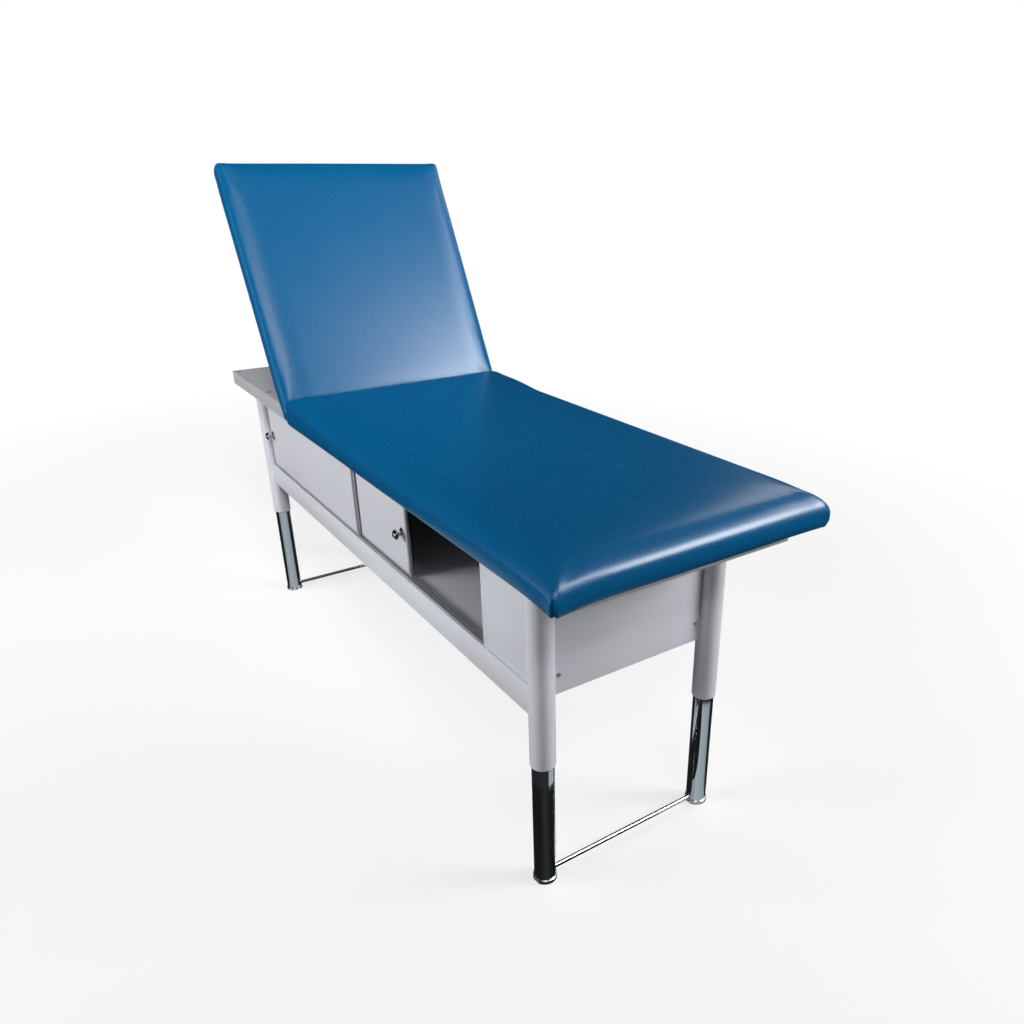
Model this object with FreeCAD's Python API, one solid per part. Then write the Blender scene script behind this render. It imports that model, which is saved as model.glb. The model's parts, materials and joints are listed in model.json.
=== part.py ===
import FreeCAD
import Part
import math
import os
from FreeCAD import Vector

# Electric treatment table: a padded top with a hinged back on a sheet-steel deck, a cabinet with two
# sliding doors under it, and four telescopic legs driven by lead screws.
# Millimetres. +X runs to the foot end, the doors face -Y, Z = 0 is the floor.

# Deck and the frame that carries it
DECK_LENGTH = 1865.0
DECK_WIDTH = 512.0
DECK_TOP = 722.0
DECK_SHEET = 2.0
DECK_LIP = 37.0
DECK_CORNER = 8.0
BEARER_HEIGHT = 36.0
BEARER_DEPTH = 25.0
BEARER_SHEET = 3.0
BEARER_END_INSET = 25.0
BEARER_HEAD_BAY = 319.0
BEARER_FOOT_BAYS = 4
DECK_SCREW_INSET = 13.5
RAIL_WIDTH = 44.0
RAIL_HEIGHT = 30.0
RAIL_WALL = 2.0

# Telescopic legs
LEG_SIDE_INSET = 50.7
LEG_HEAD_INSET = 144.3
LEG_FOOT_INSET = 142.0
SLEEVE_OD = 50.8
SLEEVE_WALL = 2.0
SLEEVE_BOTTOM = 285.4
BUSH_RECESS = 1.7
INNER_OD = 44.4
INNER_WALL = 2.5
INNER_TOP = 400.0
BUSH_LENGTH = 30.0
COLLAR_HEIGHT = 12.0
RUNNING_FIT = 0.06
COLLAR_FIT = 0.1
FOOT_OD = 49.0
FOOT_HEIGHT = 9.0
FOOT_EDGE = 1.5
FOOT_SOLE = 4.0
CROSSBAR_OD = 9.5
CROSSBAR_Z = 14.5

# Lift drive: lead screws, nuts, belts, gearmotor
SCREW_OD = 16.0
SCREW_JOURNAL_OD = 12.0
SCREW_BOTTOM = 345.0
NUT_LENGTH = 30.0
BEARING_FLANGE = 5.0
BEARING_SPIGOT = 15.0
MOVING_GAP = 0.5
PULLEY_OD = 32.0
PULLEY_FLANGE_OD = 40.0
PULLEY_FLANGE = 1.5
GROOVE_WIDTH = 10.0
BELT_WIDTH = 9.0
BELT_THICKNESS = 3.0
BELT_GAP = 0.3
BELT_WINDOW = 16.0
MOTOR_FROM_FOOT_LEG = 60.0
MOTOR_FROM_REAR_LEG = 105.3
MOTOR_PLATE = 4.0
MOTOR_PLATE_WIDTH = 90.0
GEARBOX_SIZE = 54.0
GEARBOX_HEIGHT = 42.0
GEARBOX_CORNER = 8.0
MOTOR_OD = 50.0
MOTOR_LENGTH = 105.0
MOTOR_BOSS = 6.0

# Cabinet between the legs
APRON_TOP = 451.3
APRON_HEIGHT = 64.7
REAR_APRON_HEIGHT = 21.3
APRON_PROUD = 12.0
APRON_DEPTH = 28.0
SHEET = 2.0
PANEL_SHEET = 1.5
PANEL_PROUD = 6.7
FIXED_PANEL_WIDTH = 202.3
PANEL_RETURN = 12.0
PARTITION_Y = 20.0
END_PANEL_BOTTOM = 430.0
END_PANEL_GAP = 3.0
END_PANEL_FLANGE = 14.0
END_RAIL_DEPTH = 28.0
END_RAIL_HEIGHT = 30.0
LOWER_END_RAIL_Z = 456.0
PANEL_SCREW_INSET = 9.5
FLOOR_BEARER_WIDTH = 40.0
FLOOR_BEARER_HEIGHT = 40.0
FLOOR_BEARER_INSET = 213.4
SCREW_HEAD_OD = 10.0
SCREW_HEAD_HEIGHT = 2.4

# Sliding doors and their twin-groove tracks
TRACK_PROUD = 9.9
TRACK_RIB = 1.5
TRACK_GROOVE = 6.6
TRACK_BASE = 2.0
LOWER_RIB = 6.0
UPPER_TRACK_HEIGHT = 14.0
UPPER_GROOVE_DEPTH = 10.0
DOOR_OVERLAP = 15.6
DOOR_SHEET = 4.4
DOOR_FLOAT = 0.7
DOOR_TOP_ENGAGED = 7.0
STRIP_WIDTH = 9.0
STRIP_THICKNESS = 6.0
STRIP_CLEAR = 3.0
DOOR_ONE_FROM_LEG = 32.4
DOOR_TWO_LEFT_OPEN = 353.0
KNOB_FROM_EDGE = 28.0
KNOB_Z = 555.0
KNOB_ROSETTE_OD = 27.0
KNOB_ROSETTE = 2.5
KNOB_NECK_OD = 9.0
KNOB_HEAD_OD = 25.0
KNOB_REACH = 24.0

# Seat and back
CUSHION_WIDTH = 609.6
FOOT_OVERHANG = 50.4
SEAT_THICKNESS = 68.0
SEAT_CORNER = 24.0
SEAT_TOP_EDGE = 20.0
SEAT_BOTTOM_EDGE = 8.0
BOARD_THICKNESS = 12.0
BOARD_INSET = 16.0
BACK_ANGLE = 62.4
HINGE_FROM_HEAD = 678.7
HINGE_HEIGHT = 35.5
BACK_FRONT = 32.5
BACK_REAR = 27.5
BACK_LENGTH = 627.0
BACK_FRONT_EDGE = 27.0
BACK_REAR_EDGE = 20.0
BACK_SIDE_EDGE = 17.0
BACK_BOARD_START = 26.0
CREASE_GAP = 2.5

# Hinges of the back
HINGE_SIDE_INSET = 76.0
HINGE_EYE_OD = 24.0
HINGE_PIN_OD = 10.0
HINGE_ARM_WIDTH = 14.0
HINGE_ARM_BAR = 7.0
HINGE_ARM_LENGTH = 170.0
HINGE_CHEEK = 5.0
HINGE_BASE = 3.0
HINGE_BASE_LENGTH = 36.0
HINGE_SIDE_GAP = 0.5
HINGE_SLOT_CLEAR = 7.0
PIN_HEAD = 3.0

# Back actuator: both its pivots stand at the same distance from the hinge axis
ACTUATOR_PIVOT_RADIUS = 240.0
ACTUATOR_LUG_DROP = 84.0
ACTUATOR_FLAT_ANGLE = 80.0
ACTUATOR_FROM_REAR_LEG = 95.3
ACTUATOR_EYE_OD = 26.0
ACTUATOR_EYE_WIDTH = 20.0
ACTUATOR_PIN_OD = 12.0
ACTUATOR_HOUSING_START = 20.0
ACTUATOR_HOUSING_LENGTH = 74.0
ACTUATOR_HOUSING_SIZE = 46.0
ACTUATOR_HOUSING_CORNER = 7.0
ACTUATOR_TUBE_OD = 36.0
ACTUATOR_TUBE_END = 282.0
ACTUATOR_MOTOR_OD = 42.0
ACTUATOR_MOTOR_LENGTH = 110.0
ACTUATOR_MOTOR_OFFSET = 44.0
ROD_OD = 20.0
ROD_LENGTH = 208.0
LUG_CHEEK = 5.0
LUG_BASE = 4.0
LUG_BASE_LENGTH = 76.0
LUG_BASE_WIDTH = 64.0
DECK_SLOT_WIDTH = 64.0
DECK_SLOT_CLEAR = 14.0

# Supply
CONTROL_BOX = (150.0, 80.0, 48.0)
CONTROL_BOX_FROM_LEG = 385.3
CONTROL_BOX_CORNER = 8.0
INLET_FROM_LEG = 125.3
INLET_Z = 520.0
INLET_BODY = (27.0, 22.0, 20.0)
INLET_FLANGE = (48.0, 3.0, 26.0)
INLET_WALL = 2.0
INLET_DEPTH = 16.0

# Places worked out from the sizes above
HEAD_X = -(DECK_LENGTH + FOOT_OVERHANG) / 2
DECK_FOOT_X = HEAD_X + DECK_LENGTH
SEAT_FOOT_X = DECK_FOOT_X + FOOT_OVERHANG
LEG_HEAD_X = HEAD_X + LEG_HEAD_INSET
LEG_FOOT_X = DECK_FOOT_X - LEG_FOOT_INSET
LEG_Y = DECK_WIDTH / 2 - LEG_SIDE_INSET
APRON_FACE_Y = LEG_Y + APRON_PROUD
PANEL_FACE_Y = LEG_Y + PANEL_PROUD
TRACK_FRONT_Y = LEG_Y + TRACK_PROUD
HINGE_X = HEAD_X + HINGE_FROM_HEAD
HINGE_Y = DECK_WIDTH / 2 - HINGE_SIDE_INSET
ACTUATOR_Y = LEG_Y - ACTUATOR_FROM_REAR_LEG
OPENING_FOOT_X = LEG_FOOT_X - FIXED_PANEL_WIDTH
DOOR_WIDTH = (OPENING_FOOT_X - LEG_HEAD_X + DOOR_OVERLAP) / 2
DOOR_ONE_HEAD_X = LEG_HEAD_X + DOOR_ONE_FROM_LEG
DOOR_TWO_HEAD_X = OPENING_FOOT_X - DOOR_TWO_LEFT_OPEN - DOOR_WIDTH
CONTROL_BOX_X = LEG_FOOT_X - CONTROL_BOX_FROM_LEG
INLET_X = LEG_FOOT_X - INLET_FROM_LEG
SLEEVE_R = SLEEVE_OD / 2
SLEEVE_BORE_R = SLEEVE_R - SLEEVE_WALL
INNER_R = INNER_OD / 2
DECK_UNDER = DECK_TOP - DECK_SHEET
FRAME_TOP = DECK_UNDER - BEARER_HEIGHT
RAIL_BOTTOM = FRAME_TOP - RAIL_HEIGHT
TRACK_TOP_BOTTOM = RAIL_BOTTOM - UPPER_TRACK_HEIGHT
FLOOR_TOP = APRON_TOP + SHEET
DOOR_BOTTOM = APRON_TOP + TRACK_BASE + DOOR_FLOAT
DOOR_TOP = TRACK_TOP_BOTTOM + DOOR_TOP_ENGAGED
GROOVE_ONE_Y = -TRACK_FRONT_Y + TRACK_RIB + TRACK_GROOVE / 2
GROOVE_TWO_Y = GROOVE_ONE_Y + TRACK_RIB + TRACK_GROOVE
TRACK_REAR_Y = GROOVE_TWO_Y + TRACK_GROOVE / 2 + TRACK_RIB
HINGE_Z = DECK_TOP + HINGE_HEIGHT
SEAT_HEAD_X = HINGE_X + BACK_FRONT + CREASE_GAP
BEARING_TOP = FRAME_TOP + BEARING_FLANGE
LOWER_GROOVE_Z = BEARING_TOP + MOVING_GAP + PULLEY_FLANGE
UPPER_GROOVE_Z = LOWER_GROOVE_Z + GROOVE_WIDTH + 2 * PULLEY_FLANGE
PULLEY_TOP = UPPER_GROOVE_Z + GROOVE_WIDTH + PULLEY_FLANGE
BELT_R = PULLEY_OD / 2 + BELT_GAP
MOTOR_X = LEG_FOOT_X - MOTOR_FROM_FOOT_LEG
MOTOR_Y = LEG_Y - MOTOR_FROM_REAR_LEG
LUG_S = math.sqrt(ACTUATOR_PIVOT_RADIUS ** 2 - ACTUATOR_LUG_DROP ** 2)
LUG_ANGLE = math.degrees(math.atan2(-ACTUATOR_LUG_DROP, LUG_S))
ANCHOR_ANGLE = LUG_ANGLE - ACTUATOR_FLAT_ANGLE
ANCHOR_X = HINGE_X - ACTUATOR_PIVOT_RADIUS * math.cos(math.radians(ANCHOR_ANGLE))
ANCHOR_Z = HINGE_Z + ACTUATOR_PIVOT_RADIUS * math.sin(math.radians(ANCHOR_ANGLE))
ROD_REACH = 2 * ACTUATOR_PIVOT_RADIUS * math.sin(math.radians((ACTUATOR_FLAT_ANGLE + BACK_ANGLE) / 2))
ROD_ANGLE = 90 + (ANCHOR_ANGLE + LUG_ANGLE + BACK_ANGLE) / 2
LEG_PLACES = {
    "head_front": (LEG_HEAD_X, -LEG_Y),
    "head_rear": (LEG_HEAD_X, LEG_Y),
    "foot_front": (LEG_FOOT_X, -LEG_Y),
    "foot_rear": (LEG_FOOT_X, LEG_Y),
}
DRIVEN_LEG = "foot_rear"


def span(x0, x1, y0, y1, z0, z1):
    """Box between two corners."""
    return Part.makeBox(x1 - x0, y1 - y0, z1 - z0, Vector(x0, y0, z0))


def edges_along(shape, axis):
    """Straight edges of a shape that run along an axis."""
    found = []
    for edge in shape.Edges:
        if edge.Curve.TypeId == "Part::GeomLine":
            if edge.tangentAt(edge.FirstParameter).cross(axis).Length < 1e-6:
                found.append(edge)
    return found


def rounded(x0, x1, y0, y1, z0, z1, radius, axis=Vector(0, 0, 1)):
    """Box whose edges along one axis are rounded."""
    box = span(x0, x1, y0, y1, z0, z1)
    return box.makeFillet(radius, edges_along(box, axis))


def rod(radius, x, y, z0, z1):
    """Upright cylinder."""
    return Part.makeCylinder(radius, z1 - z0, Vector(x, y, z0))


def pin(radius, x, z, y0, y1):
    """Level cylinder along Y."""
    return Part.makeCylinder(radius, y1 - y0, Vector(x, y0, z), Vector(0, 1, 0))


def turned(profile, place=Vector(0, 0, 0), axis=Vector(0, 0, 1)):
    """Solid turned from (radius, height) points about an axis through a place."""
    wire = Part.makePolygon([Vector(r, 0, h) for r, h in profile + profile[:1]])
    solid = Part.Face(wire).revolve(Vector(0, 0, 0), Vector(0, 0, 1), 360)
    solid.Placement = FreeCAD.Placement(place, FreeCAD.Rotation(Vector(0, 0, 1), axis))
    return solid


def rectangular_tube(x0, x1, y0, y1, z0, z1, wall, axis):
    """Open-ended rectangular tube along X or Y."""
    along = wall if axis == "x" else 0.0
    across = wall if axis == "y" else 0.0
    hollow = span(x0 + across, x1 - across, y0 + along, y1 - along, z0 + wall, z1 - wall)
    return span(x0, x1, y0, y1, z0, z1).cut(hollow)


def without_legs(shape):
    """Copes a piece on the four round leg sleeves."""
    for x, y in LEG_PLACES.values():
        shape = shape.cut(rod(SLEEVE_R, x, y, SLEEVE_BOTTOM, DECK_TOP))
    return shape


def raised(shape):
    """Turns a piece of the flat back up to its resting angle."""
    return shape.rotated(Vector(HINGE_X, 0, HINGE_Z), Vector(0, 1, 0), BACK_ANGLE)


def back_span(s0, s1, n0, n1, y0, y1):
    """Box in the flat back: s from the hinge towards the head, n up from the hinge axis."""
    return span(HINGE_X - s1, HINGE_X - s0, y0, y1, HINGE_Z + n0, HINGE_Z + n1)


def bearer_places():
    """Head-side faces of the cross bearers: two under the open deck, one at the hinges, the rest even."""
    first = HEAD_X + BEARER_END_INSET - BEARER_DEPTH / 2
    last = DECK_FOOT_X - BEARER_END_INSET - BEARER_DEPTH / 2
    bay = (last - HINGE_X) / BEARER_FOOT_BAYS
    return [first, first + BEARER_HEAD_BAY] + [HINGE_X + bay * i for i in range(BEARER_FOOT_BAYS + 1)]


def deck_slot_ends():
    """Ends of the deck opening that the actuator and its lug swing through."""
    head = HINGE_X - LUG_S - ACTUATOR_EYE_OD / 2 - LUG_BASE_LENGTH / 2 + DECK_SLOT_CLEAR
    climb = math.radians(ROD_ANGLE)
    foot = ANCHOR_X - (FRAME_TOP - ANCHOR_Z) / math.tan(climb) + ACTUATOR_TUBE_OD / 2 + DECK_SLOT_CLEAR
    return head, foot


def deck():
    """Folded sheet tray, lip down, with the slot for the actuator."""
    half = DECK_WIDTH / 2
    bottom = DECK_TOP - DECK_LIP
    tray = rounded(HEAD_X, DECK_FOOT_X, -half, half, bottom, DECK_TOP, DECK_CORNER)
    inner = rounded(HEAD_X + DECK_SHEET, DECK_FOOT_X - DECK_SHEET, -half + DECK_SHEET, half - DECK_SHEET,
                    bottom, DECK_UNDER, DECK_CORNER - DECK_SHEET)
    head, foot = deck_slot_ends()
    half_slot = DECK_SLOT_WIDTH / 2
    slot = rounded(head, foot, ACTUATOR_Y - half_slot, ACTUATOR_Y + half_slot, bottom, DECK_TOP, DECK_CORNER)
    return tray.cut(inner).cut(slot)


def deck_bearers():
    """Channels across the frame, with windows where the long belt passes."""
    half = DECK_WIDTH / 2 - DECK_SHEET
    bearers = []
    for x in bearer_places():
        channel = span(x, x + BEARER_DEPTH, -half, half, FRAME_TOP, DECK_UNDER)
        hollow = span(x + BEARER_SHEET, x + BEARER_DEPTH, -half, half,
                      FRAME_TOP + BEARER_SHEET, DECK_UNDER - BEARER_SHEET)
        channel = channel.cut(hollow)
        for side in (-1, 1):
            y = side * (LEG_Y + BELT_R + BELT_THICKNESS / 2)
            window = span(x, x + BEARER_SHEET, y - BELT_WINDOW / 2, y + BELT_WINDOW / 2,
                          UPPER_GROOVE_Z - PULLEY_FLANGE, PULLEY_TOP - MOVING_GAP)
            channel = channel.cut(window)
        bearers.append(channel)
    return Part.makeCompound(bearers)


def deck_screws():
    """Pan heads along the open head part of the deck."""
    y = DECK_WIDTH / 2 - DECK_SCREW_INSET
    heads = []
    for x in bearer_places():
        middle = x + BEARER_DEPTH / 2
        if middle < SEAT_HEAD_X:
            heads += [screw_head(Vector(middle, side * y, DECK_TOP), Vector(0, 0, 1)) for side in (-1, 1)]
    return heads


def screw_head(place, axis):
    """Flat-topped head standing on a face."""
    return Part.makeCylinder(SCREW_HEAD_OD / 2, SCREW_HEAD_HEIGHT, place, axis)


def long_rail(side):
    """Rectangular tube along the top of one side of the frame."""
    y = side * LEG_Y
    tube = rectangular_tube(LEG_HEAD_X, LEG_FOOT_X, y - RAIL_WIDTH / 2, y + RAIL_WIDTH / 2,
                            RAIL_BOTTOM, FRAME_TOP, RAIL_WALL, "x")
    return without_legs(tube)


def end_rails(x_leg):
    """Upper and lower cross tubes behind an end panel."""
    out = end_sign(x_leg)
    x0, x1 = sorted((x_leg - out * PANEL_SHEET, x_leg - out * (PANEL_SHEET + END_RAIL_DEPTH)))
    half = -TRACK_REAR_Y
    tubes = []
    for z in (FRAME_TOP - END_RAIL_HEIGHT, LOWER_END_RAIL_Z):
        tube = rectangular_tube(x0, x1, -half, half, z, z + END_RAIL_HEIGHT, RAIL_WALL, "y")
        for side in (-1, 1):
            tube = tube.cut(span(x0, x1, side * LEG_Y - RAIL_WIDTH / 2, side * LEG_Y + RAIL_WIDTH / 2,
                                 RAIL_BOTTOM, FRAME_TOP))
        tubes.append(without_legs(tube))
    return tubes


def end_sign(x_leg):
    """Direction out of the table at one end."""
    return 1 if x_leg > 0 else -1


def end_panel(x_leg):
    """Flanged sheet between the two legs of one end, its face on the leg axes."""
    out = end_sign(x_leg)
    half = LEG_Y - SLEEVE_R - END_PANEL_GAP
    x0, x1 = sorted((x_leg, x_leg - out * PANEL_SHEET))
    sheet = span(x0, x1, -half, half, END_PANEL_BOTTOM, FRAME_TOP)
    f0, f1 = sorted((x_leg - out * PANEL_SHEET, x_leg - out * END_PANEL_FLANGE))
    flange = span(f0, f1, -half, half, END_PANEL_BOTTOM, END_PANEL_BOTTOM + PANEL_SHEET)
    return sheet.fuse(flange).removeSplitter()


def panel_screws(x_leg):
    """Pan heads that hold an end panel to its cross tubes."""
    y = LEG_Y - SLEEVE_R - END_PANEL_GAP - PANEL_SCREW_INSET
    axis = Vector(end_sign(x_leg), 0, 0)
    heads = []
    for z in (LOWER_END_RAIL_Z + END_RAIL_HEIGHT / 2, FRAME_TOP - END_RAIL_HEIGHT / 2):
        heads += [screw_head(Vector(x_leg, side * y, z), axis) for side in (-1, 1)]
    return heads


def apron(side, height):
    """Channel along the foot of one cabinet side, open towards the inside."""
    y0, y1 = sorted((side * APRON_FACE_Y, side * (APRON_FACE_Y - APRON_DEPTH)))
    bottom = APRON_TOP - height
    channel = span(LEG_HEAD_X, LEG_FOOT_X, y0, y1, bottom, APRON_TOP)
    h0, h1 = sorted((side * (APRON_FACE_Y - SHEET), side * (APRON_FACE_Y - APRON_DEPTH)))
    hollow = span(LEG_HEAD_X, LEG_FOOT_X, h0, h1, bottom + SHEET, APRON_TOP - SHEET)
    return without_legs(channel.cut(hollow))


def cabinet_floor():
    """Sheet that lies on the flanges of both aprons, behind the lower track."""
    sheet = span(LEG_HEAD_X + PANEL_SHEET, LEG_FOOT_X - PANEL_SHEET, TRACK_REAR_Y, -TRACK_REAR_Y,
                 APRON_TOP, FLOOR_TOP)
    return without_legs(sheet)


def floor_bearers():
    """Cross tubes under the cabinet floor: one under the actuator and one near each end."""
    half = APRON_FACE_Y - APRON_DEPTH
    return [
        rectangular_tube(x - FLOOR_BEARER_WIDTH / 2, x + FLOOR_BEARER_WIDTH / 2, -half, half,
                         APRON_TOP - FLOOR_BEARER_HEIGHT, APRON_TOP, RAIL_WALL, "y")
        for x in (LEG_HEAD_X + FLOOR_BEARER_INSET, ANCHOR_X, LEG_FOOT_X - FLOOR_BEARER_INSET)]


def drive_partition():
    """Sheet between the storage space and the drive behind it."""
    y = PARTITION_Y
    foot = LEG_FOOT_X - PANEL_SHEET - END_RAIL_DEPTH
    head = LEG_HEAD_X + PANEL_SHEET + END_RAIL_DEPTH
    return span(head, foot, y, y + PANEL_SHEET, FLOOR_TOP, FRAME_TOP)


def fixed_panel():
    """Closed part of the door side, with a return at the edge of the opening."""
    inner = -PANEL_FACE_Y + PANEL_SHEET
    edge = OPENING_FOOT_X + PANEL_SHEET
    sheet = span(OPENING_FOOT_X, LEG_FOOT_X, -PANEL_FACE_Y, inner, APRON_TOP, RAIL_BOTTOM)
    fold = span(OPENING_FOOT_X, edge, inner, inner + PANEL_RETURN, APRON_TOP, RAIL_BOTTOM)
    return without_legs(sheet.fuse(fold).removeSplitter())


def rear_panel():
    """Closed sheet of the far side, cut for the supply inlet."""
    sheet = span(LEG_HEAD_X, LEG_FOOT_X, PANEL_FACE_Y - PANEL_SHEET, PANEL_FACE_Y, APRON_TOP, RAIL_BOTTOM)
    width, _, height = INLET_BODY
    window = span(INLET_X - width / 2, INLET_X + width / 2, PANEL_FACE_Y - PANEL_SHEET, PANEL_FACE_Y,
                  INLET_Z - height / 2, INLET_Z + height / 2)
    return without_legs(sheet).cut(window)


def door_track(bottom, top, groove_bottom, groove_top):
    """Extrusion with two grooves, from the head leg to the fixed panel."""
    track = span(LEG_HEAD_X, OPENING_FOOT_X, -TRACK_FRONT_Y, TRACK_REAR_Y, bottom, top)
    for y in (GROOVE_ONE_Y, GROOVE_TWO_Y):
        track = track.cut(span(LEG_HEAD_X, OPENING_FOOT_X, y - TRACK_GROOVE / 2, y + TRACK_GROOVE / 2,
                               groove_bottom, groove_top))
    return without_legs(track)


def lower_track():
    base = APRON_TOP + TRACK_BASE
    return door_track(APRON_TOP, base + LOWER_RIB, base, base + LOWER_RIB)


def upper_track():
    return door_track(TRACK_TOP_BOTTOM, RAIL_BOTTOM, TRACK_TOP_BOTTOM, TRACK_TOP_BOTTOM + UPPER_GROOVE_DEPTH)


def door(head_x, y):
    """Door sheet that stands in one groove."""
    half = DOOR_SHEET / 2
    return span(head_x, head_x + DOOR_WIDTH, y - half, y + half, DOOR_BOTTOM, DOOR_TOP)


def door_strips(head_x, y):
    """Edge profiles folded round both upright edges of a door."""
    bottom = APRON_TOP + TRACK_BASE + LOWER_RIB + STRIP_CLEAR
    top = TRACK_TOP_BOTTOM - STRIP_CLEAR
    half = STRIP_THICKNESS / 2
    wrap = (STRIP_THICKNESS - DOOR_SHEET) / 2
    strips = []
    for x0, x1 in ((head_x - wrap, head_x - wrap + STRIP_WIDTH),
                   (head_x + DOOR_WIDTH + wrap - STRIP_WIDTH, head_x + DOOR_WIDTH + wrap)):
        strips.append(span(x0, x1, y - half, y + half, bottom, top).cut(door(head_x, y)))
    return Part.makeCompound(strips)


def knob(x, y):
    """Mushroom knob with its rosette, turned about an axis out of the door."""
    rosette = KNOB_ROSETTE_OD / 2
    neck = KNOB_NECK_OD / 2
    head = KNOB_HEAD_OD / 2
    head_start = 0.5 * KNOB_REACH
    crown = 0.82 * KNOB_REACH
    profile = [(0, 0), (rosette, 0), (rosette, KNOB_ROSETTE), (neck, KNOB_ROSETTE), (neck, head_start),
               (head, head_start), (head, crown), (0.6 * head, KNOB_REACH), (0, KNOB_REACH)]
    return turned(profile, Vector(x, y - DOOR_SHEET / 2, KNOB_Z), Vector(0, -1, 0))


def leg_sleeve(place):
    """Outer leg tube."""
    return ring(SLEEVE_R, SLEEVE_BORE_R, place, SLEEVE_BOTTOM, FRAME_TOP)


def ring(outer, inner, place, z0, z1):
    x, y = place
    return rod(outer, x, y, z0, z1).cut(rod(inner, x, y, z0, z1))


def guide_bushes():
    """Plastic bushes at the lower ends of the sleeves."""
    bottom = SLEEVE_BOTTOM + BUSH_RECESS
    return Part.makeCompound([ring(SLEEVE_BORE_R, INNER_R + RUNNING_FIT, place, bottom, bottom + BUSH_LENGTH)
                              for place in LEG_PLACES.values()])


def screw_bearings():
    """Flanged bearing in the top of each sleeve."""
    bore = SCREW_JOURNAL_OD / 2 + RUNNING_FIT
    bearings = []
    for x, y in LEG_PLACES.values():
        bottom = FRAME_TOP - BEARING_SPIGOT
        bearings.append(turned([(bore, bottom), (SLEEVE_BORE_R, bottom), (SLEEVE_BORE_R, FRAME_TOP),
                                (SLEEVE_R, FRAME_TOP), (SLEEVE_R, BEARING_TOP), (bore, BEARING_TOP)],
                               Vector(x, y, 0)))
    return Part.makeCompound(bearings)


def inner_leg(place):
    """Chromed tube that slides in the sleeve."""
    return ring(INNER_R, INNER_R - INNER_WALL, place, FOOT_SOLE, INNER_TOP)


def foot_caps(x):
    """Shallow turned cups under the two inner legs of one end."""
    r = FOOT_OD / 2
    top = FOOT_HEIGHT
    profile = [(0, 0), (r, 0), (r, top - FOOT_EDGE), (INNER_R, top), (INNER_R, FOOT_SOLE), (0, FOOT_SOLE)]
    return Part.makeCompound([turned(profile, Vector(x, side * LEG_Y, 0)) for side in (-1, 1)])


def crossbar(x):
    """Round bar between the feet of one end, coped on their cups and legs."""
    bar = pin(CROSSBAR_OD / 2, x, CROSSBAR_Z, -LEG_Y, LEG_Y)
    for side in (-1, 1):
        bar = bar.cut(rod(FOOT_OD / 2, x, side * LEG_Y, 0, FOOT_HEIGHT))
        bar = bar.cut(rod(INNER_R, x, side * LEG_Y, 0, CROSSBAR_Z + CROSSBAR_OD))
    return bar


def lift_nuts(x):
    """Screw nuts in the tops of the two inner legs of one end, with a collar that runs in the sleeve."""
    bore = SCREW_OD / 2 + RUNNING_FIT
    seat = INNER_R - INNER_WALL
    collar = SLEEVE_BORE_R - COLLAR_FIT
    profile = [(bore, INNER_TOP - NUT_LENGTH), (seat, INNER_TOP - NUT_LENGTH), (seat, INNER_TOP),
               (collar, INNER_TOP), (collar, INNER_TOP + COLLAR_HEIGHT), (bore, INNER_TOP + COLLAR_HEIGHT)]
    return Part.makeCompound([turned(profile, Vector(x, side * LEG_Y, 0)) for side in (-1, 1)])


def pulley_profile(groove_starts):
    """Half outline, from the lower bore edge outwards and up, of a flanged belt pulley."""
    flange = PULLEY_FLANGE_OD / 2
    belt_seat = PULLEY_OD / 2
    profile = [(flange, groove_starts[0] - PULLEY_FLANGE)]
    for z in groove_starts:
        top = z + GROOVE_WIDTH
        profile += [(flange, z), (belt_seat, z), (belt_seat, top), (flange, top)]
    return profile + [(flange, groove_starts[-1] + GROOVE_WIDTH + PULLEY_FLANGE)]


def lead_screw(leg):
    """Screw with a turned-down journal for the bearing, and the belt pulley on top of it."""
    grooves = [LOWER_GROOVE_Z, UPPER_GROOVE_Z] if leg == DRIVEN_LEG else [UPPER_GROOVE_Z]
    shoulder = FRAME_TOP - BEARING_SPIGOT - MOVING_GAP
    journal = SCREW_JOURNAL_OD / 2
    profile = [(0, SCREW_BOTTOM), (SCREW_OD / 2, SCREW_BOTTOM), (SCREW_OD / 2, shoulder), (journal, shoulder),
               (journal, grooves[0] - PULLEY_FLANGE)] + pulley_profile(grooves) + [(0, PULLEY_TOP)]
    return turned(profile, Vector(*LEG_PLACES[leg], 0))


def belt_heights(groove_z):
    low = groove_z + (GROOVE_WIDTH - BELT_WIDTH) / 2
    return low, low + BELT_WIDTH


def sync_belt():
    """Belt round the four screw pulleys."""
    low, high = belt_heights(UPPER_GROOVE_Z)

    def loop(r):
        return rounded(LEG_HEAD_X - r, LEG_FOOT_X + r, -LEG_Y - r, LEG_Y + r, low, high, r)

    return loop(BELT_R + BELT_THICKNESS).cut(loop(BELT_R))


def drive_belt():
    """Short belt from the gearmotor to one screw pulley."""
    low, high = belt_heights(LOWER_GROOVE_Z)
    x, y = LEG_PLACES[DRIVEN_LEG]
    run = math.hypot(x - MOTOR_X, y - MOTOR_Y)
    turn = math.degrees(math.atan2(y - MOTOR_Y, x - MOTOR_X))

    def loop(r):
        flat = span(0, run, -r, r, low, high)
        return flat.fuse([rod(r, 0, 0, low, high), rod(r, run, 0, low, high)]).removeSplitter()

    belt = loop(BELT_R + BELT_THICKNESS).cut(loop(BELT_R))
    belt.Placement = FreeCAD.Placement(Vector(MOTOR_X, MOTOR_Y, 0), FreeCAD.Rotation(Vector(0, 0, 1), turn))
    return belt


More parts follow.
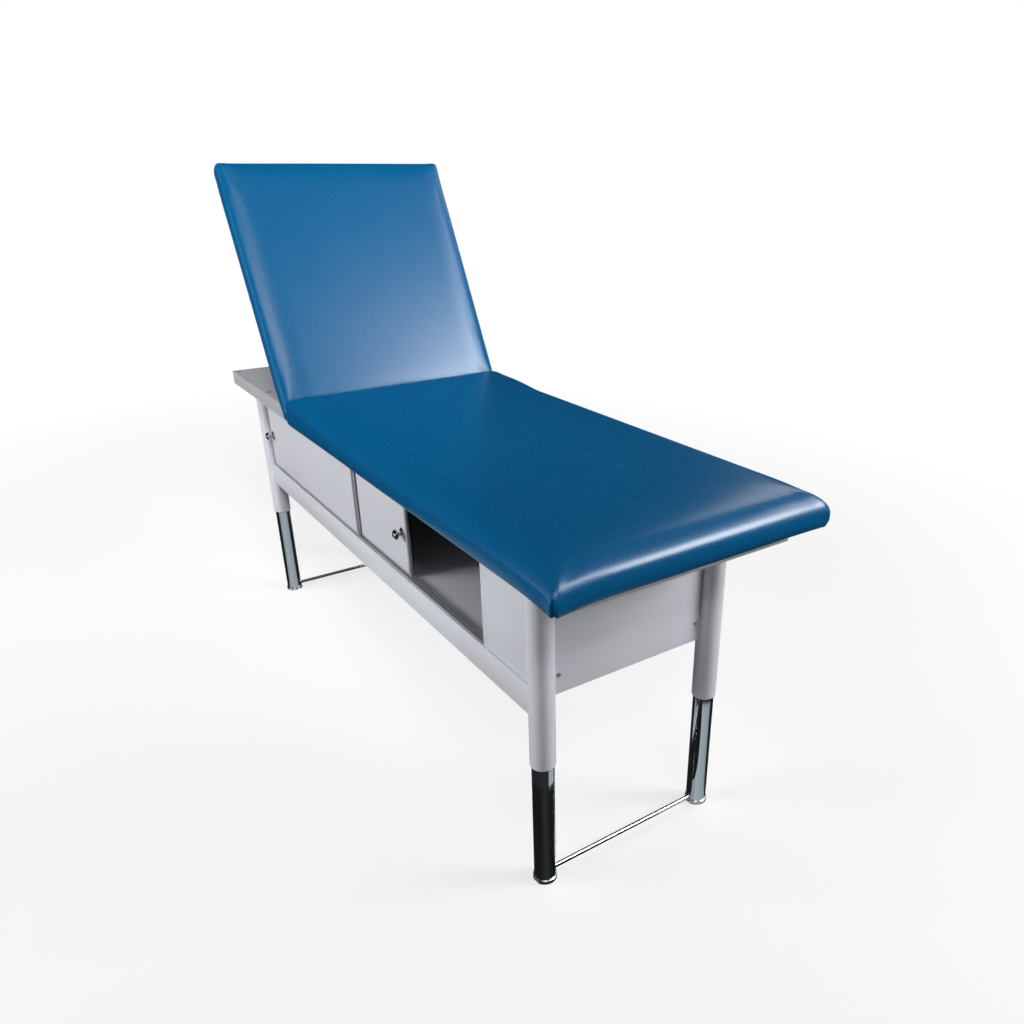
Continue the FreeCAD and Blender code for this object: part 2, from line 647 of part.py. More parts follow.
def motor_plate():
    """Plate under the last bearer and against the rear rail, bored for the motor shaft."""
    head = bearer_places()[-2]
    foot = MOTOR_X + GEARBOX_SIZE / 2
    bottom = FRAME_TOP - MOTOR_PLATE
    plate = span(head, foot, MOTOR_Y - MOTOR_PLATE_WIDTH / 2, LEG_Y - RAIL_WIDTH / 2, bottom, FRAME_TOP)
    return plate.cut(rod(SCREW_JOURNAL_OD / 2 + MOVING_GAP, MOTOR_X, MOTOR_Y, bottom, FRAME_TOP))


def lift_motor():
    """Gearbox on its mounting plate, with a round motor under it and a socket for the shaft."""
    half = GEARBOX_SIZE / 2
    top = FRAME_TOP - MOTOR_PLATE
    bottom = top - GEARBOX_HEIGHT
    gearbox = rounded(MOTOR_X - half, MOTOR_X + half, MOTOR_Y - half, MOTOR_Y + half, bottom, top,
                      GEARBOX_CORNER)
    can = rod(MOTOR_OD / 2, MOTOR_X, MOTOR_Y, bottom - MOTOR_LENGTH, bottom)
    boss = rod(MOTOR_OD / 4, MOTOR_X, MOTOR_Y, bottom - MOTOR_LENGTH - MOTOR_BOSS, bottom - MOTOR_LENGTH)
    socket = rod(SCREW_JOURNAL_OD / 2 + RUNNING_FIT, MOTOR_X, MOTOR_Y, bottom + MOTOR_PLATE, top)
    return gearbox.fuse([can, boss, motor_plate()]).removeSplitter().cut(socket)


def motor_pulley():
    """Shaft out of the gearbox with the pulley of the short belt."""
    bottom = FRAME_TOP - GEARBOX_HEIGHT + MOVING_GAP
    journal = SCREW_JOURNAL_OD / 2
    profile = [(0, bottom), (journal, bottom), (journal, LOWER_GROOVE_Z - PULLEY_FLANGE)]
    profile += pulley_profile([LOWER_GROOVE_Z]) + [(0, LOWER_GROOVE_Z + GROOVE_WIDTH + PULLEY_FLANGE)]
    return turned(profile, Vector(MOTOR_X, MOTOR_Y, 0))


def seat_board():
    """Panel inside the lower face of the seat."""
    half = CUSHION_WIDTH / 2 - BOARD_INSET
    return span(SEAT_HEAD_X + BOARD_INSET, SEAT_FOOT_X - BOARD_INSET, -half, half,
                DECK_TOP, DECK_TOP + BOARD_THICKNESS)


def seat_cushion():
    """Upholstered slab round the seat board."""
    half = CUSHION_WIDTH / 2
    top = DECK_TOP + SEAT_THICKNESS
    slab = rounded(SEAT_HEAD_X, SEAT_FOOT_X, -half, half, DECK_TOP, top, SEAT_CORNER)
    slab = slab.makeFillet(SEAT_TOP_EDGE, [e for e in slab.Edges if e.BoundBox.ZMin > top - 1])
    slab = slab.makeFillet(SEAT_BOTTOM_EDGE, [e for e in slab.Edges if e.BoundBox.ZMax < DECK_TOP + 1])
    return slab.cut(seat_board())


def back_outline():
    """Side outline of the flat back: full round at the hinge, soft edges at the head end."""
    x = HINGE_X
    end = HINGE_X - BACK_LENGTH
    low = HINGE_Z - BACK_REAR
    high = HINGE_Z + BACK_FRONT
    nose = (high - low) / 2
    middle = (high + low) / 2
    f = BACK_FRONT_EDGE
    r = BACK_REAR_EDGE
    k = math.sqrt(0.5)
    points = {
        "nose_low": Vector(x, 0, low),
        "nose_tip": Vector(x + nose, 0, middle),
        "nose_high": Vector(x, 0, high),
        "front": Vector(end + f, 0, high),
        "front_mid": Vector(end + f - f * k, 0, high - f + f * k),
        "front_end": Vector(end, 0, high - f),
        "rear_end": Vector(end, 0, low + r),
        "rear_mid": Vector(end + r - r * k, 0, low + r - r * k),
        "rear": Vector(end + r, 0, low),
    }
    p = points
    return Part.Wire([
        Part.Arc(p["nose_low"], p["nose_tip"], p["nose_high"]).toShape(),
        Part.LineSegment(p["nose_high"], p["front"]).toShape(),
        Part.Arc(p["front"], p["front_mid"], p["front_end"]).toShape(),
        Part.LineSegment(p["front_end"], p["rear_end"]).toShape(),
        Part.Arc(p["rear_end"], p["rear_mid"], p["rear"]).toShape(),
        Part.LineSegment(p["rear"], p["nose_low"]).toShape(),
    ])


def flat_board():
    half = CUSHION_WIDTH / 2 - BOARD_INSET
    return back_span(BACK_BOARD_START, BACK_LENGTH - BACK_REAR_EDGE, -BACK_REAR, -BACK_REAR + BOARD_THICKNESS,
                     -half, half)


def flat_arm(y):
    """Hinge arm: an eye on the hinge axis and a bar on the face of the board."""
    half = HINGE_ARM_WIDTH / 2
    face = -BACK_REAR + BOARD_THICKNESS
    bar = back_span(0, HINGE_ARM_LENGTH, face, face + HINGE_ARM_BAR, y - half, y + half)
    eye = pin(HINGE_EYE_OD / 2, HINGE_X, HINGE_Z, y - half, y + half)
    bore = pin(HINGE_PIN_OD / 2 + RUNNING_FIT, HINGE_X, HINGE_Z, y - half, y + half)
    return eye.fuse(bar).removeSplitter().cut(bore)


def flat_cushion():
    """Upholstered slab round the board, slotted for the hinges."""
    half = CUSHION_WIDTH / 2
    slab = Part.Face(back_outline()).extrude(Vector(0, CUSHION_WIDTH, 0))
    slab.translate(Vector(0, -half, 0))
    ends = [e for e in slab.Edges if e.BoundBox.YLength < 1e-6]
    slab = slab.makeFillet(BACK_SIDE_EDGE, ends)
    slab = slab.cut(flat_board())
    reach = HINGE_EYE_OD / 2 + HINGE_SLOT_CLEAR
    wide = HINGE_ARM_WIDTH / 2 + HINGE_SIDE_GAP + HINGE_CHEEK + PIN_HEAD + HINGE_SLOT_CLEAR
    for y in (-HINGE_Y, HINGE_Y):
        slab = slab.cut(back_span(-2 * BACK_FRONT, reach, -2 * BACK_FRONT, reach, y - wide, y + wide))
        slab = slab.cut(flat_arm(y))
    return slab


def lug(x0, x1, base_z, eye_x, eye_z, eye_r, bore_r, y0, y1):
    """Cheek that tapers from a base edge to a bored round eye."""
    outline = [Vector(x0, y0, base_z), Vector(x1, y0, base_z), Vector(eye_x + eye_r, y0, eye_z),
               Vector(eye_x - eye_r, y0, eye_z)]
    taper = Part.Face(Part.makePolygon(outline + outline[:1])).extrude(Vector(0, y1 - y0, 0))
    cheek = taper.fuse(pin(eye_r, eye_x, eye_z, y0, y1)).removeSplitter()
    return cheek.cut(pin(bore_r, eye_x, eye_z, y0, y1))


def clevis(base, eye, gap, cheek, radii, y):
    """Base plate with two bored cheeks, in one piece.

    base is (x0, x1, near z, far z, width), eye is (x, z), radii are the eye's and the bore's.
    """
    x0, x1, near, far, width = base
    low, high = sorted((near, far))
    solid = span(x0, x1, y - width / 2, y + width / 2, low, high)
    for start in (y - gap / 2 - cheek, y + gap / 2):
        solid = solid.fuse(lug(x0, x1, near, eye[0], eye[1], radii[0], radii[1], start, start + cheek))
    return solid.removeSplitter()


def hinge_bracket(y):
    """Clevis on the deck that carries one hinge of the back."""
    half = HINGE_BASE_LENGTH / 2
    gap = HINGE_ARM_WIDTH + 2 * HINGE_SIDE_GAP
    top = DECK_TOP + HINGE_BASE
    base = (HINGE_X - half, HINGE_X + half, top, DECK_TOP, gap + 2 * HINGE_CHEEK)
    return clevis(base, (HINGE_X, HINGE_Z), gap, HINGE_CHEEK, (HINGE_EYE_OD / 2, HINGE_PIN_OD / 2), y)


def headed_pin(x, z, y, diameter, length):
    """Clevis pin with a head at each end."""
    y0 = y - length / 2
    y1 = y + length / 2
    shank = pin(diameter / 2, x, z, y0, y1)
    heads = [pin(0.8 * diameter, x, z, y0 - PIN_HEAD, y0), pin(0.8 * diameter, x, z, y1, y1 + PIN_HEAD)]
    return shank.fuse(heads).removeSplitter()


def hinge_pins():
    length = HINGE_ARM_WIDTH + 2 * HINGE_SIDE_GAP + 2 * HINGE_CHEEK
    return [headed_pin(HINGE_X, HINGE_Z, y, HINGE_PIN_OD, length) for y in (-HINGE_Y, HINGE_Y)]


def lug_gap():
    return ACTUATOR_EYE_WIDTH + 2 * HINGE_SIDE_GAP


def lug_pin_length():
    return lug_gap() + 2 * LUG_CHEEK


def flat_back_lug():
    """Clevis under the back board that the actuator rod pushes."""
    x = HINGE_X - LUG_S
    rear = HINGE_Z - BACK_REAR
    base = (x - LUG_BASE_LENGTH / 2, x + LUG_BASE_LENGTH / 2, rear - LUG_BASE, rear, LUG_BASE_WIDTH)
    return clevis(base, (x, HINGE_Z - ACTUATOR_LUG_DROP), lug_gap(), LUG_CHEEK,
                  (ACTUATOR_EYE_OD / 2, ACTUATOR_PIN_OD / 2), ACTUATOR_Y)


def flat_lug_pin():
    return headed_pin(HINGE_X - LUG_S, HINGE_Z - ACTUATOR_LUG_DROP, ACTUATOR_Y, ACTUATOR_PIN_OD,
                      lug_pin_length())


def anchor_bracket():
    """Clevis on the cabinet floor that the actuator stands on."""
    half = LUG_BASE_LENGTH / 2
    base = (ANCHOR_X - half, ANCHOR_X + half, FLOOR_TOP + LUG_BASE, FLOOR_TOP, LUG_BASE_WIDTH)
    return clevis(base, (ANCHOR_X, ANCHOR_Z), lug_gap(), LUG_CHEEK,
                  (ACTUATOR_EYE_OD / 2, ACTUATOR_PIN_OD / 2), ACTUATOR_Y)


def anchor_pin():
    return headed_pin(ANCHOR_X, ANCHOR_Z, ACTUATOR_Y, ACTUATOR_PIN_OD, lug_pin_length())


def along_actuator(shape):
    """Turns a piece laid level from the anchor pivot up to the actuator's resting line."""
    return shape.rotated(Vector(ANCHOR_X, 0, ANCHOR_Z), Vector(0, 1, 0), ROD_ANGLE)


def level_rod(radius, start, end, drop=0.0):
    """Cylinder on the level actuator line, between two distances from the anchor pivot."""
    return Part.makeCylinder(radius, end - start, Vector(ANCHOR_X - start, ACTUATOR_Y, ANCHOR_Z - drop),
                             Vector(-1, 0, 0))


def bored_eye(distance):
    """Actuator eye on the level line, and the cut for its pin."""
    x = ANCHOR_X - distance
    y0 = ACTUATOR_Y - ACTUATOR_EYE_WIDTH / 2
    y1 = ACTUATOR_Y + ACTUATOR_EYE_WIDTH / 2
    eye = pin(ACTUATOR_EYE_OD / 2, x, ANCHOR_Z, y0, y1)
    return eye, pin(ACTUATOR_PIN_OD / 2 + RUNNING_FIT, x, ANCHOR_Z, y0, y1)


def actuator_housing():
    """Rear eye and moulded gear housing, with the seat of the guide tube."""
    eye, bore = bored_eye(0)
    half = ACTUATOR_HOUSING_SIZE / 2
    start = ACTUATOR_HOUSING_START
    end = start + ACTUATOR_HOUSING_LENGTH
    x1 = ANCHOR_X - start
    x0 = ANCHOR_X - end
    low = ANCHOR_Z - ACTUATOR_MOTOR_OFFSET - ACTUATOR_MOTOR_OD / 2
    block = rounded(x0, x1, ACTUATOR_Y - half, ACTUATOR_Y + half, low, ANCHOR_Z + half,
                    ACTUATOR_HOUSING_CORNER, Vector(1, 0, 0))
    narrow = ACTUATOR_EYE_WIDTH / 2
    neck = span(x1, ANCHOR_X, ACTUATOR_Y - narrow, ACTUATOR_Y + narrow,
                ANCHOR_Z - ACTUATOR_EYE_OD / 2, ANCHOR_Z + ACTUATOR_EYE_OD / 2)
    return along_actuator(block.fuse([eye, neck]).removeSplitter().cut(bore))


def actuator_tube():
    """Guide tube of the rod, closed by its end on the housing."""
    start = ACTUATOR_HOUSING_START + ACTUATOR_HOUSING_LENGTH
    tube = level_rod(ACTUATOR_TUBE_OD / 2, start, ACTUATOR_TUBE_END)
    return along_actuator(tube.cut(level_rod(ROD_OD / 2 + RUNNING_FIT, start, ACTUATOR_TUBE_END)))


def actuator_motor():
    """Round motor beside the guide tube, with a boss on its end."""
    start = ACTUATOR_HOUSING_START + ACTUATOR_HOUSING_LENGTH
    end = start + ACTUATOR_MOTOR_LENGTH
    can = level_rod(ACTUATOR_MOTOR_OD / 2, start, end, ACTUATOR_MOTOR_OFFSET)
    boss = level_rod(ACTUATOR_MOTOR_OD / 4, end, end + MOTOR_BOSS, ACTUATOR_MOTOR_OFFSET)
    return along_actuator(can.fuse(boss).removeSplitter())


def actuator_rod():
    """Push rod with its eye in the lug under the back."""
    eye, bore = bored_eye(ROD_REACH)
    bar = level_rod(ROD_OD / 2, ROD_REACH - ROD_LENGTH, ROD_REACH)
    return along_actuator(bar.fuse(eye).removeSplitter().cut(bore))


def control_box():
    """Closed box on the cabinet floor behind the partition."""
    length, width, height = CONTROL_BOX
    return rounded(CONTROL_BOX_X - length / 2, CONTROL_BOX_X + length / 2, ACTUATOR_Y - width / 2,
                   ACTUATOR_Y + width / 2, FLOOR_TOP, FLOOR_TOP + height, CONTROL_BOX_CORNER)


def power_inlet():
    """Flanged supply inlet in the rear panel, open outwards."""
    width, depth, height = INLET_BODY
    flange_width, flange, flange_height = INLET_FLANGE
    y = PANEL_FACE_Y
    body = span(INLET_X - width / 2, INLET_X + width / 2, y - depth, y,
                INLET_Z - height / 2, INLET_Z + height / 2)
    rim = span(INLET_X - flange_width / 2, INLET_X + flange_width / 2, y, y + flange,
               INLET_Z - flange_height / 2, INLET_Z + flange_height / 2)
    w = INLET_WALL
    recess = span(INLET_X - width / 2 + w, INLET_X + width / 2 - w, y + flange - INLET_DEPTH, y + flange,
                  INLET_Z - height / 2 + w, INLET_Z + height / 2 - w)
    return body.fuse(rim).removeSplitter().cut(recess)


def frame_nodes():
    nodes = {
        "deck": deck(),
        "deck_bearers": deck_bearers(),
        "frame_screws": Part.makeCompound(
            deck_screws() + panel_screws(LEG_HEAD_X) + panel_screws(LEG_FOOT_X)),
        "front_rail": long_rail(-1),
        "rear_rail": long_rail(1),
        "cross_members": Part.makeCompound(end_rails(LEG_HEAD_X) + end_rails(LEG_FOOT_X) + floor_bearers()),
        "head_end_panel": end_panel(LEG_HEAD_X),
        "foot_end_panel": end_panel(LEG_FOOT_X),
        "front_apron": apron(-1, APRON_HEIGHT),
        "rear_apron": apron(1, REAR_APRON_HEIGHT),
        "cabinet_floor": cabinet_floor(),
        "drive_partition": drive_partition(),
        "front_fixed_panel": fixed_panel(),
        "rear_panel": rear_panel(),
        "lower_track": lower_track(),
        "upper_track": upper_track(),
        "guide_bushes": guide_bushes(),
        "screw_bearings": screw_bearings(),
        "seat_board": seat_board(),
        "seat_cushion": seat_cushion(),
        "hinge_brackets": Part.makeCompound([hinge_bracket(-HINGE_Y), hinge_bracket(HINGE_Y)]),
        "anchor_bracket": anchor_bracket(),
        "pivot_pins": Part.makeCompound(hinge_pins() + [anchor_pin()]),
        "sync_belt": sync_belt(),
        "drive_belt": drive_belt(),
        "lift_motor": lift_motor(),
        "control_box": control_box(),
        "power_inlet": power_inlet(),
    }
    for leg, place in LEG_PLACES.items():
        nodes["leg_sleeve_" + leg] = leg_sleeve(place)
    return nodes


def moving_nodes():
    nodes = {
        "back_cushion": raised(flat_cushion()),
        "back_board": raised(flat_board()),
        "back_brackets": raised(Part.makeCompound([flat_arm(-HINGE_Y), flat_arm(HINGE_Y), flat_back_lug()])),
        "lug_pin": raised(flat_lug_pin()),
        "actuator_housing": actuator_housing(),
        "actuator_tube": actuator_tube(),
        "actuator_motor": actuator_motor(),
        "actuator_rod": actuator_rod(),
        "motor_pulley": motor_pulley(),
    }
    for end, x in (("head", LEG_HEAD_X), ("foot", LEG_FOOT_X)):
        nodes[end + "_inner_legs"] = Part.makeCompound([inner_leg((x, side * LEG_Y)) for side in (-1, 1)])
        nodes[end + "_foot_caps"] = foot_caps(x)
        nodes[end + "_crossbar"] = crossbar(x)
        nodes[end + "_lift_nuts"] = lift_nuts(x)
    for leg in LEG_PLACES:
        nodes["lead_screw_" + leg] = lead_screw(leg)
    doors = (("one", DOOR_ONE_HEAD_X, GROOVE_ONE_Y, KNOB_FROM_EDGE),
             ("two", DOOR_TWO_HEAD_X, GROOVE_TWO_Y, DOOR_WIDTH - KNOB_FROM_EDGE))
    for name, head_x, y, knob_from_head in doors:
        nodes["door_" + name] = door(head_x, y)
        nodes["door_" + name + "_strips"] = door_strips(head_x, y)
        nodes["door_" + name + "_knob"] = knob(head_x + knob_from_head, y)
    return nodes


def main():
    os.makedirs("parts", exist_ok=True)
    nodes = frame_nodes()
    nodes.update(moving_nodes())
    for name, shape in nodes.items():
        shape.exportStep("parts/" + name + ".step")
    print(len(nodes), "nodes")


main()
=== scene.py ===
"""Looks of the treatment table: upholstery, coated sheet metal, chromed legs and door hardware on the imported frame.

Everything is in metres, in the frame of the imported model: +X runs to the foot end, the doors face -Y, +Z is up.
"""

import json
import logging
import math
from dataclasses import dataclass
from enum import Enum
from typing import Callable, ClassVar, Dict, List, Optional, Sequence, Tuple, Union

import bpy
import numpy as np
from mathutils import Matrix, Vector

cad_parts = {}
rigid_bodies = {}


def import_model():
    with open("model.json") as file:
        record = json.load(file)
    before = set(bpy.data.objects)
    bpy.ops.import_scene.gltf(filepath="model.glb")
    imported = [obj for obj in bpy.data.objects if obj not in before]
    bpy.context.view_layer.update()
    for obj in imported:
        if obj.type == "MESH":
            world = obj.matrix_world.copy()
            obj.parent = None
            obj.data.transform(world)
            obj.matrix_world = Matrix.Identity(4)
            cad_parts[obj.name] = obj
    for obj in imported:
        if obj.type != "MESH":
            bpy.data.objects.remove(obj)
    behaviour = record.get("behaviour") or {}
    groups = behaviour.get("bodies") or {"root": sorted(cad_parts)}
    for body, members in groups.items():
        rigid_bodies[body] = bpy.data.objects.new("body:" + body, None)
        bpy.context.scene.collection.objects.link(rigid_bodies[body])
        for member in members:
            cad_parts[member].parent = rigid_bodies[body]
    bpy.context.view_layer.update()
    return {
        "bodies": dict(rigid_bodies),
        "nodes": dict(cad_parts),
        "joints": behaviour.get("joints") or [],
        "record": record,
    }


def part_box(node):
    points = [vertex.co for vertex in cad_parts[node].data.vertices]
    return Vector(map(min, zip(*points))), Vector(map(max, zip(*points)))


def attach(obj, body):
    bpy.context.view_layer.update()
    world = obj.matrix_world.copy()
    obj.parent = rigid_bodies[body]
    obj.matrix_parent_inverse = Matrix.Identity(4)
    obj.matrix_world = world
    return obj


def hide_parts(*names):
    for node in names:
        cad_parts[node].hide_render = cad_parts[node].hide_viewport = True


LOG = logging.getLogger("treatment_table")
MM = 0.001
PHOTO_SIDE = 1024.0

Colour = Tuple[float, float, float]
Point = Tuple[float, float, float]
Profile = Sequence[Tuple[float, float]]
SocketInput = Union[float, tuple, "Value"]


class Side(Enum):
    """The two long sides of the table."""

    FRONT = -1
    REAR = 1


class Value:
    """A shader socket that joins in Python arithmetic through Math nodes."""

    def __init__(self, paint: "Paint", socket: bpy.types.NodeSocket) -> None:
        """Keeps the socket and the tree that it belongs to."""
        self.paint = paint
        self.socket = socket

    def _math(self, operation: str, first: SocketInput, second: SocketInput) -> "Value":
        """Adds one Math node."""
        return self.paint.node("ShaderNodeMath", {"operation": operation}, {0: first, 1: second})

    def __add__(self, other: SocketInput) -> "Value":
        """Sum."""
        return self._math("ADD", self, other)

    __radd__ = __add__

    def __sub__(self, other: SocketInput) -> "Value":
        """Difference."""
        return self._math("SUBTRACT", self, other)

    def __rsub__(self, other: SocketInput) -> "Value":
        """Difference with the socket on the right."""
        return self._math("SUBTRACT", other, self)

    def __mul__(self, other: SocketInput) -> "Value":
        """Product."""
        return self._math("MULTIPLY", self, other)

    __rmul__ = __mul__

    def between(self, low: float, high: float) -> "Value":
        """Smooth step from 0 at low to 1 at high."""
        settings = {"interpolation_type": "SMOOTHSTEP", "clamp": True}
        return self.paint.node("ShaderNodeMapRange", settings, {"Value": self, "From Min": low, "From Max": high})


class Paint:
    """The node tree of one material while it is made."""

    def __init__(self, name: str) -> None:
        """Starts a material with an empty tree.

        Args:
            name: Name of the material.
        """
        self.material = bpy.data.materials.new(name)
        self.material.use_nodes = True
        self.tree = self.material.node_tree
        self.tree.nodes.clear()

    @classmethod
    def of_tree(cls, tree: bpy.types.NodeTree) -> "Paint":
        """Works on a tree that exists, such as the world's."""
        paint = cls.__new__(cls)
        paint.tree = tree
        tree.nodes.clear()
        return paint

    def node(self, kind: str, settings: Optional[dict] = None, inputs: Optional[dict] = None,
             output: Union[int, str] = 0) -> Optional[Value]:
        """Adds one node.

        Args:
            kind: Node type.
            settings: Attributes that are set first.
            inputs: Values or links of the node's sockets, by name or number.
            output: The socket to hand back.

        Returns:
            The chosen output, or None from a node that has none.
        """
        made = self.tree.nodes.new(kind)
        for key, value in (settings or {}).items():
            setattr(made, key, value)
        for key, value in (inputs or {}).items():
            if isinstance(value, Value):
                self.tree.links.new(value.socket, made.inputs[key])
            else:
                made.inputs[key].default_value = value
        return Value(self, made.outputs[output]) if made.outputs else None

    def place(self, scale: Point = (1.0, 1.0, 1.0)) -> Value:
        """Object coordinates, stretched by a scale."""
        place = self.node("ShaderNodeTexCoord", output="Object")
        return self.node("ShaderNodeMapping", inputs={"Vector": place, "Scale": scale})

    def noise(self, scale: float, detail: float = 2.0, stretch: Point = (1.0, 1.0, 1.0)) -> Value:
        """Noise from 0 to 1 on object coordinates."""
        place = self.place(stretch)
        return self.node("ShaderNodeTexNoise", inputs={"Vector": place, "Scale": scale, "Detail": detail})

    def cells(self, scale: float, feature: str = "F1") -> Value:
        """Distance to the middle of Voronoi cells on object coordinates."""
        place = self.place()
        return self.node("ShaderNodeTexVoronoi", {"feature": feature}, {"Vector": place, "Scale": scale}, "Distance")

    def blend(self, factor: SocketInput, first: SocketInput, second: SocketInput) -> Value:
        """Mixes two colours."""
        colours = [c if isinstance(c, Value) else (*c, 1.0) for c in (first, second)]
        return self.node("ShaderNodeMix", {"data_type": "RGBA"}, {0: factor, 6: colours[0], 7: colours[1]}, 2)

    def bump(self, height: Value, strength: float, depth: float) -> Value:
        """Normal from a height map; depth in metres."""
        return self.node("ShaderNodeBump", inputs={"Height": height, "Strength": strength, "Distance": depth})

    def finish(self, inputs: Dict[str, SocketInput]) -> bpy.types.Material:
        """Closes the tree with a Principled shader.

        Args:
            inputs: Values or links of the shader's sockets.

        Returns:
            The finished material.
        """
        shader = self.node("ShaderNodeBsdfPrincipled", inputs=inputs)
        self.node("ShaderNodeOutputMaterial", inputs={"Surface": shader})
        return self.material


class Finish:
    """A surface finish that makes its material once."""

    name: str = ""

    def paint(self, paint: Paint) -> Dict[str, SocketInput]:
        """Shader inputs of the finish; each finish has its own."""
        raise NotImplementedError

    def material(self) -> bpy.types.Material:
        """The finish's material, made at the first call."""
        found = bpy.data.materials.get(self.name)
        if found is not None:
            return found
        paint = Paint(self.name)
        return paint.finish(self.paint(paint))

    def dress(self, *pieces: bpy.types.Object) -> None:
        """Gives pieces this finish alone."""
        for piece in pieces:
            piece.data.materials.clear()
            piece.data.materials.append(self.material())


@dataclass(frozen=True)
class VinylFinish(Finish):
    """Embossed upholstery vinyl."""

    name: str = "blue_vinyl"
    deep: Colour = (0.0, 0.090, 0.232)
    light: Colour = (0.0, 0.098, 0.245)
    # Colour of the painted shade in the grain's hollows, and its share.
    hollow_shade: Colour = (0.0, 0.02, 0.07)
    hollow_shade_share: float = 0.03
    tone_scale: float = 1.6
    grain_scale: float = 620.0
    grain_depth: float = 0.12 * MM
    grain_relief: float = 0.05
    pore_scale: float = 1900.0
    pore_share: float = 0.35
    roughness: float = 0.27
    rough_scale: float = 9.0
    rough_change: float = 0.02
    crease_rough: float = 0.05
    gloss: float = 0.36

    def paint(self, paint: Paint) -> Dict[str, SocketInput]:
        """Pebbled emboss over two close blues, with painted shade darkening the grain's hollows."""
        tone = paint.noise(self.tone_scale, 2.0)
        pebble = paint.cells(self.grain_scale, "SMOOTH_F1")
        pores = paint.noise(self.pore_scale, 2.0)
        relief = 1.0 - pebble + self.pore_share * pores
        hollow_shade = 1.0 - (1.0 - pebble).between(0.25, 0.75)
        colour = paint.blend(tone.between(0.3, 0.7), self.deep, self.light)
        # Painted shade: the grain's hollows are blended toward a deep navy.
        colour = paint.blend(self.hollow_shade_share * hollow_shade, colour, self.hollow_shade)
        change = self.rough_change * (paint.noise(self.rough_scale, 3.0) - 0.5)
        return {"Base Color": colour, "Roughness": self.roughness + change + self.crease_rough * hollow_shade,
                "Specular IOR Level": self.gloss, "Normal": paint.bump(relief, self.grain_relief, self.grain_depth)}


@dataclass(frozen=True)
class PowderCoatFinish(Finish):
    """Powder coat with a fine orange peel."""

    name: str = "pale_powder_coat"
    colour: Colour = (0.70, 0.71, 0.77)
    shade: Colour = (0.66, 0.67, 0.73)
    roughness: float = 0.38
    peel_scale: float = 330.0
    peel_relief: float = 0.18
    peel_depth: float = 0.10 * MM
    speckle_scale: float = 1500.0
    speckle_share: float = 0.2
    tone_scale: float = 3.0
    tone_share: float = 0.5
    rough_scale: float = 14.0
    rough_change: float = 0.08

    def paint(self, paint: Paint) -> Dict[str, SocketInput]:
        """Orange peel, fine speckle and slow changes of tone."""
        peel = paint.noise(self.peel_scale, 2.0)
        speckle = 1.0 - paint.cells(self.speckle_scale).between(0.05, 0.4)
        tone = paint.noise(self.tone_scale, 3.0).between(0.35, 0.65)
        colour = paint.blend(self.tone_share * tone + self.speckle_share * speckle, self.colour, self.shade)
        rough = self.roughness + self.rough_change * (paint.noise(self.rough_scale, 3.0) - 0.5)
        return {"Base Color": colour, "Roughness": rough,
                "Normal": paint.bump(peel, self.peel_relief, self.peel_depth)}


@dataclass(frozen=True)
class PlatedFinish(Finish):
    """Polished plating with faint handling marks."""

    name: str = "chrome_plate"
    colour: Colour = (0.80, 0.81, 0.83)
    haze: Colour = (0.70, 0.71, 0.74)
    roughness: float = 0.07
    haze_scale: float = 16.0
    haze_share: float = 0.35
    haze_rough: float = 0.05
    line_scale: float = 60.0
    line_stretch: Point = (1.0, 1.0, 24.0)
    line_relief: float = 0.03
    line_depth: float = 0.02 * MM

    def paint(self, paint: Paint) -> Dict[str, SocketInput]:
        """Mirror with slow haze and hair-fine polishing lines."""
        haze = paint.noise(self.haze_scale, 4.0).between(0.45, 0.75)
        lines = paint.noise(self.line_scale, 2.0, self.line_stretch)
        colour = paint.blend(self.haze_share * haze, self.colour, self.haze)
        return {"Base Color": colour, "Metallic": 1.0, "Roughness": self.roughness + self.haze_rough * haze,
                "Normal": paint.bump(lines, self.line_relief, self.line_depth)}


@dataclass(frozen=True)
class BrushedFinish(Finish):
    """Drawn or brushed metal with lines along one direction."""

    name: str = "drawn_aluminium"
    colour: Colour = (0.60, 0.61, 0.63)
    shade: Colour = (0.46, 0.47, 0.49)
    roughness: float = 0.34
    stretch: Point = (6.0, 700.0, 700.0)
    metallic: float = 0.6
    line_share: float = 0.6
    line_rough: float = 0.16
    line_relief: float = 0.12
    line_depth: float = 0.05 * MM
    mottle_scale: float = 22.0
    mottle_share: float = 0.25

    def paint(self, paint: Paint) -> Dict[str, SocketInput]:
        """Long fine lines and a soft mottle."""
        lines = paint.noise(1.0, 4.0, self.stretch)
        mottle = paint.noise(self.mottle_scale, 3.0)
        share = self.line_share * lines.between(0.3, 0.7) + self.mottle_share * mottle
        return {"Base Color": paint.blend(share, self.colour, self.shade), "Metallic": self.metallic,
                "Roughness": self.roughness + self.line_rough * (lines - 0.5),
                "Normal": paint.bump(lines, self.line_relief, self.line_depth)}


@dataclass(frozen=True)
class ZincFinish(Finish):
    """Zinc-plated steel with spangle."""

    name: str = "zinc_steel"
    colour: Colour = (0.58, 0.59, 0.60)
    shade: Colour = (0.44, 0.45, 0.47)
    roughness: float = 0.36
    spangle_scale: float = 160.0
    spangle_share: float = 0.5
    cloud_scale: float = 30.0
    cloud_share: float = 0.35
    cloud_rough: float = 0.2
    cloud_relief: float = 0.08
    cloud_depth: float = 0.05 * MM

    def paint(self, paint: Paint) -> Dict[str, SocketInput]:
        """Small spangle cells and a cloudy roughness."""
        spangle = paint.cells(self.spangle_scale).between(0.0, 0.9)
        cloud = paint.noise(self.cloud_scale, 4.0)
        share = self.spangle_share * spangle + self.cloud_share * cloud
        return {"Base Color": paint.blend(share, self.colour, self.shade), "Metallic": 1.0,
                "Roughness": self.roughness + self.cloud_rough * (cloud - 0.5),
                "Normal": paint.bump(cloud, self.cloud_relief, self.cloud_depth)}


